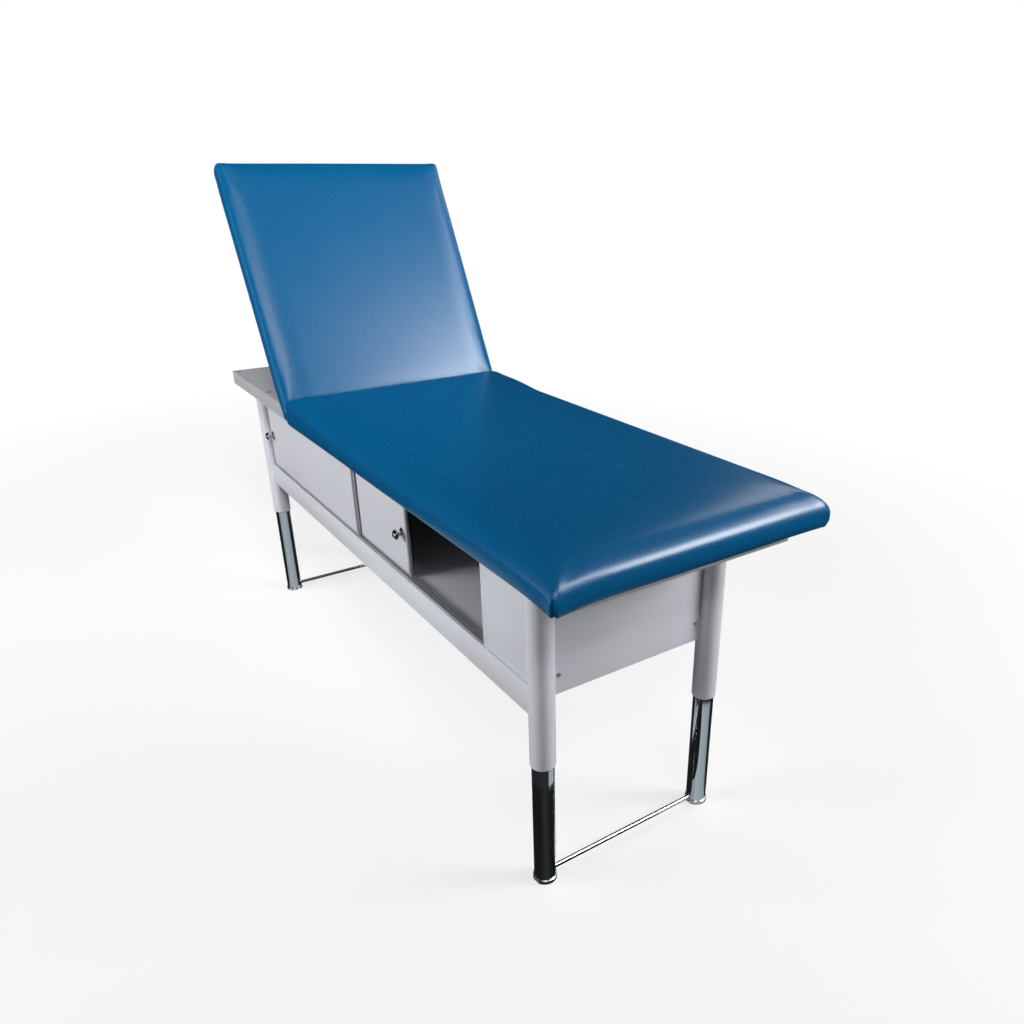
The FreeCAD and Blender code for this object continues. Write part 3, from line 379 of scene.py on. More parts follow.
@dataclass(frozen=True)
class MouldedFinish(Finish):
    """Moulded plastic, rubber or dark paint with a fine texture."""

    name: str = "black_moulding"
    colour: Colour = (0.018, 0.018, 0.019)
    dust: Colour = (0.05, 0.05, 0.052)
    roughness: float = 0.5
    texture_scale: float = 900.0
    texture_relief: float = 0.2
    texture_depth: float = 0.08 * MM
    dust_scale: float = 18.0
    dust_share: float = 0.5
    dust_rough: float = 0.12

    def paint(self, paint: Paint) -> Dict[str, SocketInput]:
        """Spark-eroded texture with a trace of dust."""
        texture = paint.noise(self.texture_scale, 2.0)
        dust = paint.noise(self.dust_scale, 4.0).between(0.5, 0.8)
        colour = paint.blend(self.dust_share * dust, self.colour, self.dust)
        return {"Base Color": colour, "Roughness": self.roughness + self.dust_rough * dust,
                "Normal": paint.bump(texture, self.texture_relief, self.texture_depth)}


@dataclass(frozen=True)
class PlywoodFinish(Finish):
    """Sanded birch plywood."""

    name: str = "birch_plywood"
    early: Colour = (0.60, 0.43, 0.26)
    late: Colour = (0.42, 0.27, 0.14)
    pore: Colour = (0.2, 0.12, 0.06)
    pore_share: float = 0.3
    pore_stretch: Point = (40.0, 900.0, 900.0)
    pore_relief: float = 0.15
    pore_depth: float = 0.1 * MM
    drift_scale: float = 1.4
    drift_share: float = 0.4
    drift_stretch: Point = (0.6, 3.0, 3.0)
    band_scale: float = 20.0
    band_share: float = 0.3
    band_waver: float = 3.5
    band_stretch: Point = (0.25, 1.0, 1.0)
    roughness: float = 0.6
    band_rough: float = 0.15

    def paint(self, paint: Paint) -> Dict[str, SocketInput]:
        """Long grain with darker late wood."""
        drift = paint.noise(self.drift_scale, 3.0, self.drift_stretch)
        wave = {"Vector": paint.place(self.band_stretch), "Scale": self.band_scale, "Distortion": self.band_waver,
                "Detail": 3.0}
        bands = paint.node("ShaderNodeTexWave", {"wave_type": "BANDS", "bands_direction": "Y"}, wave, "Fac")
        pores = paint.noise(1.0, 3.0, self.pore_stretch)
        colour = paint.blend(self.band_share * bands + self.drift_share * drift, self.early, self.late)
        colour = paint.blend(self.pore_share * pores.between(0.55, 0.7), colour, self.pore)
        return {"Base Color": colour, "Roughness": self.roughness + self.band_rough * bands,
                "Normal": paint.bump(pores, self.pore_relief, self.pore_depth)}


VINYL = VinylFinish()
COAT = PowderCoatFinish()
# Darker copy of the pale coat for the deck: painted shade of the back pad above it.
SHADED_DECK_COAT = PowderCoatFinish("shaded_deck_coat", (0.46, 0.47, 0.50), (0.42, 0.43, 0.46), 0.42)
CHROME = PlatedFinish()
NICKEL = PlatedFinish("nickel_plate", (0.70, 0.69, 0.67), (0.60, 0.59, 0.58), 0.18)
SATIN = PlatedFinish("satin_chrome", (0.84, 0.85, 0.87), (0.74, 0.75, 0.78), 0.2)
ALUMINIUM = BrushedFinish()
STEEL = ZincFinish()
BRONZE = BrushedFinish("bearing_bronze", (0.62, 0.42, 0.20), (0.45, 0.28, 0.12), 0.36, (300.0, 300.0, 40.0))
MOULDING = MouldedFinish()
DARK_COAT = MouldedFinish("black_coat", (0.012, 0.012, 0.013), (0.03, 0.03, 0.032), 0.6, 500.0)
RUBBER = MouldedFinish("belt_rubber", (0.015, 0.015, 0.015), (0.04, 0.04, 0.04), 0.75, 1200.0)
PLYWOOD = PlywoodFinish()


class Bench:
    """Modelling operations that the sub-assemblies share."""

    SMOOTH_ANGLE: ClassVar[float] = math.radians(35.0)
    BREAK_ANGLE: ClassVar[float] = math.radians(40.0)
    FLAT_ANGLE: ClassVar[float] = math.radians(0.5)
    CAD_DOUBLES: ClassVar[float] = 5e-6
    SPIN_DOUBLES: ClassVar[float] = 1e-6

    @staticmethod
    def activate(piece: bpy.types.Object) -> None:
        """Selects one piece alone, in object mode."""
        active = bpy.context.view_layer.objects.active
        if active is not None and active.mode != "OBJECT":
            bpy.ops.object.mode_set(mode="OBJECT")
        bpy.ops.object.select_all(action="DESELECT")
        piece.select_set(True)
        bpy.context.view_layer.objects.active = piece

    @staticmethod
    def block(name: str, low: Vector, high: Vector) -> bpy.types.Object:
        """Box between two corners, with its place in its mesh."""
        bpy.ops.object.select_all(action="DESELECT")
        bpy.ops.mesh.primitive_cube_add(size=1.0, location=(low + high) / 2)
        piece = bpy.context.object
        piece.name = name
        piece.data.name = name
        piece.scale = high - low
        bpy.ops.object.transform_apply(location=True, rotation=True, scale=True)
        return piece

    @staticmethod
    def apply(piece: bpy.types.Object, kind: str, **settings: object) -> None:
        """Adds a modifier and applies it at once."""
        Bench.activate(piece)
        made = piece.modifiers.new(kind.lower(), kind)
        for key, value in settings.items():
            setattr(made, key, value)
        bpy.ops.object.modifier_apply(modifier=made.name)

    @staticmethod
    def smooth(piece: bpy.types.Object) -> None:
        """Smooth shading up to an angle between faces."""
        Bench.activate(piece)
        bpy.ops.object.shade_smooth_by_angle(angle=Bench.SMOOTH_ANGLE)

    @staticmethod
    def lathe(name: str, profile: Profile, place: Vector, axis: Vector = Vector((0, 0, 1)),
              steps: int = 64) -> bpy.types.Object:
        """Turns a profile about an axis.

        Args:
            name: Name of the piece.
            profile: (radius, height) points in metres.
            place: Foot of the axis.
            axis: Direction of growing height.
            steps: Faces round the axis.

        Returns:
            The turned piece.
        """
        bpy.ops.object.select_all(action="DESELECT")
        bpy.ops.mesh.primitive_plane_add(size=MM, location=(0, 0, 0))
        piece = bpy.context.object
        piece.name = name
        piece.data.name = name
        bpy.ops.object.mode_set(mode="EDIT")
        bpy.ops.mesh.select_all(action="SELECT")
        bpy.ops.mesh.merge(type="CENTER")
        bpy.ops.transform.translate(value=(profile[0][0], 0.0, profile[0][1]))
        last = profile[0]
        for radius, height in profile[1:]:
            step = (radius - last[0], 0.0, height - last[1])
            bpy.ops.mesh.extrude_vertices_move(TRANSFORM_OT_translate={"value": step})
            last = (radius, height)
        bpy.ops.mesh.select_all(action="SELECT")
        bpy.ops.mesh.spin(steps=steps, angle=2 * math.pi, center=(0, 0, 0), axis=(0, 0, 1))
        bpy.ops.mesh.select_all(action="SELECT")
        bpy.ops.mesh.remove_doubles(threshold=Bench.SPIN_DOUBLES)
        bpy.ops.mesh.normals_make_consistent(inside=False)
        bpy.ops.object.mode_set(mode="OBJECT")
        turn = Vector((0, 0, 1)).rotation_difference(axis).to_matrix().to_4x4()
        piece.data.transform(Matrix.Translation(place) @ turn)
        Bench.smooth(piece)
        return piece

    @staticmethod
    def copy(piece: bpy.types.Object, name: str, move: Matrix) -> bpy.types.Object:
        """Moved copy with a mesh of its own."""
        twin = piece.copy()
        twin.data = piece.data.copy()
        twin.name = name
        twin.data.name = name
        twin.data.transform(move)
        bpy.context.scene.collection.objects.link(twin)
        return twin

    @staticmethod
    def softened(name: str, node: bpy.types.Object, width: float, segments: int = 2) -> bpy.types.Object:
        """Copy of a CAD node with its loose triangles merged and its edges broken.

        Args:
            name: Name of the piece.
            node: The CAD node.
            width: Size of the broken edge in metres.
            segments: Faces across it.

        Returns:
            The new piece.
        """
        piece = Bench.copy(node, name, Matrix.Identity(4))
        piece.parent = None
        for key in list(piece.keys()):
            del piece[key]
        Bench.activate(piece)
        bpy.ops.object.mode_set(mode="EDIT")
        bpy.ops.mesh.select_all(action="SELECT")
        bpy.ops.mesh.remove_doubles(threshold=Bench.CAD_DOUBLES)
        bpy.ops.mesh.customdata_custom_splitnormals_clear()
        bpy.ops.mesh.dissolve_limited(angle_limit=Bench.FLAT_ANGLE)
        bpy.ops.object.mode_set(mode="OBJECT")
        Bench.apply(piece, "BEVEL", width=width, segments=segments, limit_method="ANGLE",
                    angle_limit=Bench.BREAK_ANGLE, use_clamp_overlap=True)
        Bench.smooth(piece)
        return piece

    @staticmethod
    def loose_boxes(node: bpy.types.Object) -> List[Tuple[Vector, Vector]]:
        """Boxes of the separate solids of a CAD node."""
        work = Bench.copy(node, "loose_work", Matrix.Identity(4))
        work.parent = None
        Bench.activate(work)
        bpy.ops.object.mode_set(mode="EDIT")
        bpy.ops.mesh.select_all(action="SELECT")
        bpy.ops.mesh.remove_doubles(threshold=Bench.CAD_DOUBLES)
        bpy.ops.mesh.separate(type="LOOSE")
        bpy.ops.object.mode_set(mode="OBJECT")
        boxes = []
        for part in list(bpy.context.selected_objects):
            rows = Bench.points(part)
            boxes.append((Vector(rows.min(axis=0)), Vector(rows.max(axis=0))))
            bpy.data.objects.remove(part)
        return sorted(boxes, key=lambda box: tuple(round(v, 4) for v in box[0]))

    @staticmethod
    def points(piece: bpy.types.Object) -> np.ndarray:
        """Vertices of a piece as rows."""
        flat = np.empty(len(piece.data.vertices) * 3, np.float64)
        piece.data.vertices.foreach_get("co", flat)
        return flat.reshape(-1, 3)

    @staticmethod
    def move_points(piece: bpy.types.Object, rows: np.ndarray) -> None:
        """Writes vertices back."""
        piece.data.vertices.foreach_set("co", rows.astype(np.float32).ravel())
        piece.data.update()


@dataclass(frozen=True)
class Lamp:
    """Rectangular soft lamp that points at the table."""

    name: str
    place: Point
    width: float
    height: float
    watts: float
    aim: Point = (0.1, 0.0, 0.7)
    spread: float = 180.0
    mirrored: bool = True
    diffused: bool = True

    def build(self) -> None:
        """Makes the lamp."""
        data = bpy.data.lights.new(self.name, "AREA")
        data.shape = "RECTANGLE"
        data.size = self.width
        data.size_y = self.height
        data.energy = self.watts
        data.spread = math.radians(self.spread)
        lamp = bpy.data.objects.new(self.name, data)
        lamp.location = self.place
        lamp.visible_glossy = self.mirrored
        lamp.visible_diffuse = self.diffused
        lamp.rotation_euler = (Vector(self.aim) - Vector(self.place)).to_track_quat("-Z", "Y").to_euler()
        bpy.context.scene.collection.objects.link(lamp)


@dataclass
class Stage:
    """Pale floor, white surroundings, soft lamps and glowing cards that only reflections see, as painted reflections.

    A card's bands are (share of a turn, grey) pairs, from the -X direction round by -Y.
    """

    # Painted reflections: glow levels of the cards round their axes; the pale bands put streaks into the plating.
    WALL_BANDS: ClassVar[Profile] = ((0.0, 0.015), (0.45, 0.015), (0.5, 0.07), (0.6, 0.015), (1.0, 0.015))
    FLOOR_BANDS: ClassVar[Profile] = (
        (0.0, 0.012), (0.3, 0.012), (0.45, 0.03), (0.6, 0.012), (0.84, 0.012), (0.87, 0.5), (0.95, 0.35),
        (0.98, 0.012), (1.0, 0.012))
    LEG_BANDS: ClassVar[Profile] = (
        (0.0, 0.015), (0.258, 0.015), (0.276, 0.55), (0.288, 0.55), (0.306, 0.2), (0.34, 0.48), (0.58, 0.4),
        (0.66, 0.015), (0.84, 0.015), (0.87, 0.5), (0.95, 0.35), (0.98, 0.015), (1.0, 0.015))
    CARD_TINT: ClassVar[Tuple[float, ...]] = (0.80, 0.95, 1.0, 1.0)
    WHITE: ClassVar[Tuple[float, ...]] = (1.0, 1.0, 1.0, 1.0)
    floor_radius: float = 40.0
    floor_level: float = -0.5 * MM
    floor_seen: float = 0.95
    floor_grey: float = 0.2
    floor_glow: float = 0.62
    floor_stretch: Point = (0.75, 1.0, 1.0)
    sky: float = 0.25
    clear_radius: float = 1.3
    white_radius: float = 3.0
    ring_radius: float = 8.0
    ring_height: float = 80.0
    card_share: float = 0.98
    card_level: float = 0.2 * MM
    leg_card_level: float = 0.4 * MM
    leg_card_step: float = 0.05 * MM
    near_card_level: float = 0.6 * MM
    near_card: float = 0.31
    foot_card: float = 0.42
    head_card: float = 0.9
    leg_places: Sequence[Point] = ()
    lamps: Sequence[Lamp] = (
        Lamp("key_lamp", (-1.3, -4.1, 1.9), 2.4, 1.6, 148.0, mirrored=False),
        Lamp("foot_lamp", (2.9, 3.2, 2.0), 1.7, 1.5, 135.0, mirrored=False),
        Lamp("over_lamp", (3.2, -1.1, 4.0), 1.5, 1.2, 11.0, (-0.55, 0.05, 1.15), 40.0, mirrored=False),
        Lamp("rear_sheen", (1.75, 3.5, 3.25), 1.8, 1.4, 60.0, diffused=False),
        Lamp("foot_sheen", (2.9, 1.3, 3.8), 1.5, 1.0, 1.9, (0.95, -0.15, 0.72), 24.0, diffused=False),
        Lamp("wide_sheen", (2.75, 2.4, 3.05), 1.5, 1.1, 138.0, diffused=False),
        Lamp("side_sheen", (3.0, -1.5, 3.85), 2.4, 1.1, 46.0, diffused=False),
        Lamp("rear_lamp", (-1.2, 3.5, 2.95), 1.4, 1.4, 16.0),
        Lamp("door_sheen", (-0.6, -3.4, 0.5), 3.0, 0.45, 14.0, (0.0, -0.25, 0.5), diffused=False),
    )

    def build(self) -> None:
        """Makes the floor, the world, the lamps and the cards."""
        scene = bpy.context.scene
        scene.view_settings.view_transform = "Standard"
        self._floor()
        self._world(scene)
        self._cards()
        for lamp in self.lamps:
            lamp.build()

    @staticmethod
    def _seen(paint: Paint) -> Value:
        """1 for camera, glossy and transmission rays."""
        rays = [paint.node("ShaderNodeLightPath", output=name) for name in
                ("Is Camera Ray", "Is Glossy Ray", "Is Transmission Ray")]
        return (rays[0] + rays[1] + rays[2]).between(0.0, 0.5)

    def _floor(self) -> None:
        """Round floor that turns into the white surroundings away from the object."""
        bpy.ops.object.select_all(action="DESELECT")
        bpy.ops.mesh.primitive_circle_add(vertices=96, radius=self.floor_radius, fill_type="NGON",
                                          location=(0, 0, self.floor_level))
        floor = bpy.context.object
        floor.name = "studio_floor"
        bpy.ops.object.transform_apply(location=True, rotation=True, scale=True)
        paint = Paint("floor_white")
        seen = self._seen(paint)
        place = paint.place(self.floor_stretch)
        spot = paint.node("ShaderNodeVectorMath", {"operation": "LENGTH"}, {0: place}, "Value")
        far = spot.between(self.clear_radius, self.white_radius)
        share = seen * (self.floor_glow + (1.0 - self.floor_glow) * far)
        tone = paint.blend(seen, (self.floor_grey,) * 3, (self.floor_seen,) * 3)
        lit = paint.node("ShaderNodeBsdfDiffuse", inputs={"Color": tone})
        white = paint.node("ShaderNodeEmission", inputs={"Color": self.WHITE, "Strength": 1.0})
        both = paint.node("ShaderNodeMixShader", inputs={0: share, 1: lit, 2: white})
        paint.node("ShaderNodeOutputMaterial", inputs={"Surface": both})
        floor.data.materials.append(paint.material)

    def _world(self, scene: bpy.types.Scene) -> None:
        """White surroundings that light the object at a lower level."""
        world = bpy.data.worlds.new("studio")
        scene.world = world
        world.use_nodes = True
        paint = Paint.of_tree(world.node_tree)
        strength = self.sky + (1.0 - self.sky) * self._seen(paint)
        light = paint.node("ShaderNodeBackground", inputs={"Color": self.WHITE, "Strength": strength})
        paint.node("ShaderNodeOutputWorld", inputs={"Surface": light})

    def _card(self, name: str, bands: Profile) -> None:
        """Makes the new object a glowing card that only reflections see, with bands of grey round its own axis: a
        painted reflection.

        Args:
            name: Name of the card.
            bands: Its greys round the axis.
        """
        card = bpy.context.object
        card.name = name
        paint = Paint(name)
        turn = paint.node("ShaderNodeTexGradient", {"gradient_type": "RADIAL"}, {"Vector": paint.place()}, "Fac")
        grey = bands[0][1]
        for (start, level), (end, after) in zip(bands, bands[1:]):
            if after != level:
                grey = turn.between(start, end) * (after - level) + grey
        light = paint.node("ShaderNodeEmission", inputs={"Color": self.CARD_TINT, "Strength": grey})
        paint.node("ShaderNodeOutputMaterial", inputs={"Surface": light})
        card.data.materials.append(paint.material)
        for rays in ("camera", "diffuse", "transmission", "volume_scatter", "shadow"):
            setattr(card, "visible_" + rays, False)

    def _cards(self) -> None:
        """Dark wall round the stage and dark cards with pale bands on the floor, glowing only in reflections: painted
        reflections in the plating and the vinyl.
        """
        bpy.ops.object.select_all(action="DESELECT")
        bpy.ops.mesh.primitive_cylinder_add(vertices=96, radius=self.ring_radius, depth=self.ring_height,
                                            end_fill_type="NOTHING", location=(0, 0, self.ring_height / 2))
        self._card("reflection_wall", self.WALL_BANDS)
        self._floor_card("floor_card", (0.0, 0.0, self.card_level), self.card_share * self.ring_radius,
                         self.FLOOR_BANDS)
        for number, (x, y, _) in enumerate(self.leg_places):
            level, bands = self.leg_card_level - self.leg_card_step * number, self.LEG_BANDS
            radius = self.foot_card if x > 0 else self.head_card
            # The near front leg gets an all-dark card, a painted dark reflection in that leg.
            if x > 0 > y:
                level, radius, bands = self.near_card_level, self.near_card, self.FLOOR_BANDS
            self._floor_card(f"leg_card_{number}", (x, y, level), radius, bands)

    def _floor_card(self, name: str, place: Point, radius: float, bands: Profile) -> None:
        """Round card on the floor."""
        bpy.ops.object.select_all(action="DESELECT")
        bpy.ops.mesh.primitive_circle_add(vertices=64, radius=radius, fill_type="NGON", location=place)
        self._card(name, bands)


@dataclass
class PhotoCamera:
    """Camera at the photograph's place."""

    place: Point = (1.85135, -0.88603, 1.31527)
    yaw: float = 144.964
    pitch: float = -25.183
    roll: float = 0.120
    focal_pixels: float = 840.77
    centre: Tuple[float, float] = (578.15, 559.92)
    sensor: float = 36.0

    def build(self) -> None:
        """Makes the scene's camera."""
        data = bpy.data.cameras.new("photo_camera")
        data.sensor_width = self.sensor
        data.lens = self.focal_pixels * self.sensor / PHOTO_SIDE
        data.shift_x = (PHOTO_SIDE / 2 - self.centre[0]) / PHOTO_SIDE
        data.shift_y = (self.centre[1] - PHOTO_SIDE / 2) / PHOTO_SIDE
        camera = bpy.data.objects.new("photo_camera", data)
        yaw, pitch = math.radians(self.yaw), math.radians(self.pitch)
        forward = Vector((math.cos(yaw) * math.cos(pitch), math.sin(yaw) * math.cos(pitch), math.sin(pitch)))
        turn = forward.to_track_quat("-Z", "Y").to_matrix().to_4x4()
        turn = turn @ Matrix.Rotation(math.radians(self.roll), 4, "Z")
        camera.matrix_world = Matrix.Translation(self.place) @ turn
        bpy.context.scene.collection.objects.link(camera)
        bpy.context.scene.camera = camera


@dataclass
class Assembly:
    """A sub-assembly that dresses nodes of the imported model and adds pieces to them."""

    frame: dict

    def node(self, name: str) -> bpy.types.Object:
        """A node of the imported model."""
        return self.frame["nodes"][name]

    def add(self, piece: bpy.types.Object, finish: Finish, slot: str, body: str, *nodes: str) -> bpy.types.Object:
        """Puts a new piece on a body in place of nodes.

        Args:
            piece: The new piece.
            finish: Its surface.
            slot: Its material slot in the record; not used.
            body: The body that it moves with.
            nodes: The nodes that it stands for.

        Returns:
            The same piece.
        """
        finish.dress(piece)
        if nodes:
            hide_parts(*nodes)
        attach(piece, body)
        return piece

    def build(self) -> List[bpy.types.Object]:
        """Makes the sub-assembly's pieces."""
        raise NotImplementedError


@dataclass(frozen=True)
class Edge:
    """How a pad rounds off at one of its sides.

    Attributes:
        reach: Width of the shoulder.
        fall: How far the shoulder drops.
        tuck: How far the side goes in at its foot.
        roll: Drop of the slower fall above the shoulder.
        roll_reach: Width of that fall.
        onset: How suddenly the shoulder begins.
    """

    reach: float
    fall: float
    tuck: float
    roll: float = 0.0
    roll_reach: float = 130 * MM
    onset: float = 1.0


@dataclass
class Cushion(Assembly):
    """A foam pad under stretched vinyl, modelled level and then set in place."""

    CLOTH: ClassVar[Dict[str, float]] = {
        "quality": 4, "mass": 0.3, "tension_stiffness": 20.0, "compression_stiffness": 20.0, "shear_stiffness": 10.0,
        "bending_stiffness": 2.0}
    TINY: ClassVar[float] = 1e-9
    name: str
    replaced: str
    body: str
    low: Vector
    high: Vector
    board_low: Vector
    board_high: Vector
    set_up: Matrix
    head: Edge
    foot: Edge
    side: Edge
    head_corner: float
    foot_corner: float
    hinge: Vector
    voxel: float = 5 * MM
    cuts: int = 60
    sharpness: float = 9.0
    swell: float = 3.5 * MM
    rim: float = 3 * MM
    head_firm: float = 1.0
    firm_reach: float = 260 * MM
    frames: int = 20
    pressure: float = 4.0
    tuck_span: float = 60 * MM
    held_height: float = 5 * MM
    under_height: float = 6 * MM
    under_blend: float = 4 * MM
    rim_place: float = 7 * MM
    rim_half: float = 12 * MM
    sink: float = 5 * MM
    sink_start: float = 2 * MM
    sink_run: float = 6 * MM

    def build(self) -> List[bpy.types.Object]:
        """Returns:
            The finished pad.
        """
        piece = self._blank()
        Bench.apply(piece, "REMESH", mode="VOXEL", voxel_size=self.voxel)
        Bench.apply(piece, "SMOOTH", factor=0.5, iterations=3)
        self._swell(piece)
        self._fit(piece)
        self._underside(piece)
        self.detail(piece)
        piece.data.transform(self.set_up)
        piece.data.update()
        Bench.activate(piece)
        bpy.ops.object.shade_smooth()
        self.add(piece, VINYL, "vinyl", self.body, self.replaced)
        return [piece]

    def detail(self, piece: bpy.types.Object) -> None:
        """Last touches; each pad has its own."""
        raise NotImplementedError

    def _blank(self) -> bpy.types.Object:
        """Slab with a falling top, round plan corners and sides that tuck under."""
        piece = Bench.block(self.name, self.low, self.high)
        bpy.ops.object.mode_set(mode="EDIT")
        bpy.ops.mesh.select_all(action="SELECT")
        bpy.ops.mesh.subdivide(number_cuts=self.cuts)
        bpy.ops.object.mode_set(mode="OBJECT")
        size = np.array(self.high - self.low)
        share = (Bench.points(piece) - np.array(self.low)) / size
        plan = 0.5 - 0.5 * np.cos(math.pi * share[:, :2])
        rows = np.array(self.low) + np.column_stack([plan, share[:, 2]]) * size
        self._round_corners(rows)
        self._profile(rows, share[:, 2])
        Bench.move_points(piece, rows)
        return piece

    def _gaps(self, rows: np.ndarray) -> Tuple[np.ndarray, np.ndarray, np.ndarray]:
        """Distances from the head end, the foot end and the nearest long side."""
        side = np.minimum(rows[:, 1] - self.low.y, self.high.y - rows[:, 1])
        return rows[:, 0] - self.low.x, self.high.x - rows[:, 0], side

    def _round_corners(self, rows: np.ndarray) -> None:
        """Bends the plan's corners round."""
        middle = (self.low + self.high) / 2
        for foot, radius in ((False, self.head_corner), (True, self.foot_corner)):
            along = self._gaps(rows)[1 if foot else 0]
            across = self._gaps(rows)[2]
            near = (along < radius) & (across < radius)
            p, q = 1.0 - along[near] / radius, 1.0 - across[near] / radius
            along_new = radius * (1.0 - p * np.sqrt(1.0 - q ** 2 / 2))
            across_new = radius * (1.0 - q * np.sqrt(1.0 - p ** 2 / 2))
            rows[near, 0] = self.high.x - along_new if foot else self.low.x + along_new
            right = rows[near, 1] > middle.y
            rows[near, 1] = np.where(right, self.high.y - across_new, self.low.y + across_new)

    def _profile(self, rows: np.ndarray, level: np.ndarray) -> None:
        """Gives the top its fall and the sides their tuck.

        Args:
            rows: Points of the slab, moved in place.
            level: Each point's share of the slab's height.
        """
        edges = (self.head, self.foot, self.side)
        gaps = self._gaps(rows)
        ease = [(1.0 - np.clip(gap / edge.reach, 0.0, 1.0)) ** edge.onset for gap, edge in zip(gaps, edges)]
        firm = self.head_firm + (1.0 - self.head_firm) * np.clip(gaps[0] / self.firm_reach, 0.0, 1.0) ** 2
        ease[2] = ease[2] * firm
        total = np.minimum(sum(e ** self.sharpness for e in ease) ** (1.0 / self.sharpness), 1.0)
        weight = sum(e ** 2 for e in ease) + self.TINY
        fall = sum(e ** 2 * edge.fall for e, edge in zip(ease, edges)) / weight
        tuck = sum(e ** 2 * edge.tuck for e, edge in zip(ease, edges)) / weight
        drop = fall * (1.0 - np.sqrt(1.0 - total ** 2))
        rolls = [share * edge.roll * (1.0 - np.clip(gap / edge.roll_reach, 0.0, 1.0)) ** 2
                 for gap, edge, share in zip(gaps, edges, (1.0, 1.0, firm ** 2))]
        drop += sum(roll ** 4 for roll in rolls) ** 0.25
        rows[:, 2] = self.low.z + level * (self.high.z - self.low.z - drop)
        inward = tuck * (1.0 - np.sqrt(1.0 - (1.0 - level) ** 2)) * total
        head, foot, side = self._gaps(rows)
        span = np.clip(1.0 - np.minimum(head, foot) / self.tuck_span, 0.0, 1.0)
        rows[:, 0] += np.where(head < foot, inward, -inward) * span
        span = np.clip(1.0 - side / self.tuck_span, 0.0, 1.0)
        rows[:, 1] -= np.sign(rows[:, 1]) * inward * span

    def _swell(self, piece: bpy.types.Object) -> None:
        """Blows the cover out a little by cloth simulation, with its lower face held."""
        rest = Bench.points(piece)
        held = piece.vertex_groups.new(name="held")
        held.add([int(i) for i in np.nonzero(rest[:, 2] < self.low.z + self.held_height)[0]], 1.0, "REPLACE")
        cloth = piece.modifiers.new("swell", "CLOTH")
        settings = cloth.settings
        for key, value in self.CLOTH.items():
            setattr(settings, key, value)
        settings.use_pressure = True
        settings.uniform_pressure_force = self.pressure
        settings.vertex_group_mass = "held"
        settings.effector_weights.gravity = 0.0
        cloth.collision_settings.use_collision = False
        cloth.point_cache.frame_start = 1
        cloth.point_cache.frame_end = self.frames
        scene = bpy.context.scene
        for frame in range(1, self.frames + 1):
            scene.frame_set(frame)
        bpy.context.view_layer.update()
        shape = piece.evaluated_get(bpy.context.evaluated_depsgraph_get())
        moved = Bench.points(shape) - rest
        length = np.linalg.norm(moved, axis=1)
        LOG.info("%s: the free swell of %.1f mm is held to %.1f mm", self.name, length.mean() / MM, self.swell / MM)
        limit = self.swell * np.tanh(length / (2 * self.swell)) / np.maximum(length, self.TINY)
        piece.modifiers.remove(cloth)
        piece.vertex_groups.clear()
        Bench.move_points(piece, rest + moved * limit[:, None])
        scene.frame_set(1)
        Bench.apply(piece, "SMOOTH", factor=0.5, iterations=10)

    def _fit(self, piece: bpy.types.Object) -> None:
        """Stretches the pad to its box."""
        rows = Bench.points(piece)
        low, high = rows.min(axis=0), rows.max(axis=0)
        share = (rows - low) / (high - low)
        Bench.move_points(piece, np.array(self.low) + share * np.array(self.high - self.low))

    def _underside(self, piece: bpy.types.Object) -> None:
        """Rolls the rim under and sinks the middle of the lower face into the board, which shows there."""
        rows = Bench.points(piece)
        top = self.low.z + self.under_height
        under = rows[:, 2] < top
        inside = np.minimum.reduce([rows[:, 0] - self.board_low.x, self.board_high.x - rows[:, 0],
                                    rows[:, 1] - self.board_low.y, self.board_high.y - rows[:, 1]])
        roll = np.clip(1.0 - np.abs(inside + self.rim_place) / self.rim_half, 0.0, 1.0)
        rise = np.clip((inside + self.sink_start) / self.sink_run, 0.0, 1.0)
        blend = np.clip((top - rows[:, 2]) / self.under_blend, 0.0, 1.0)
        level = self.low.z - self.rim * roll + self.sink * rise
        rows[under, 2] += (blend * (level - rows[:, 2]))[under]
        Bench.move_points(piece, rows)


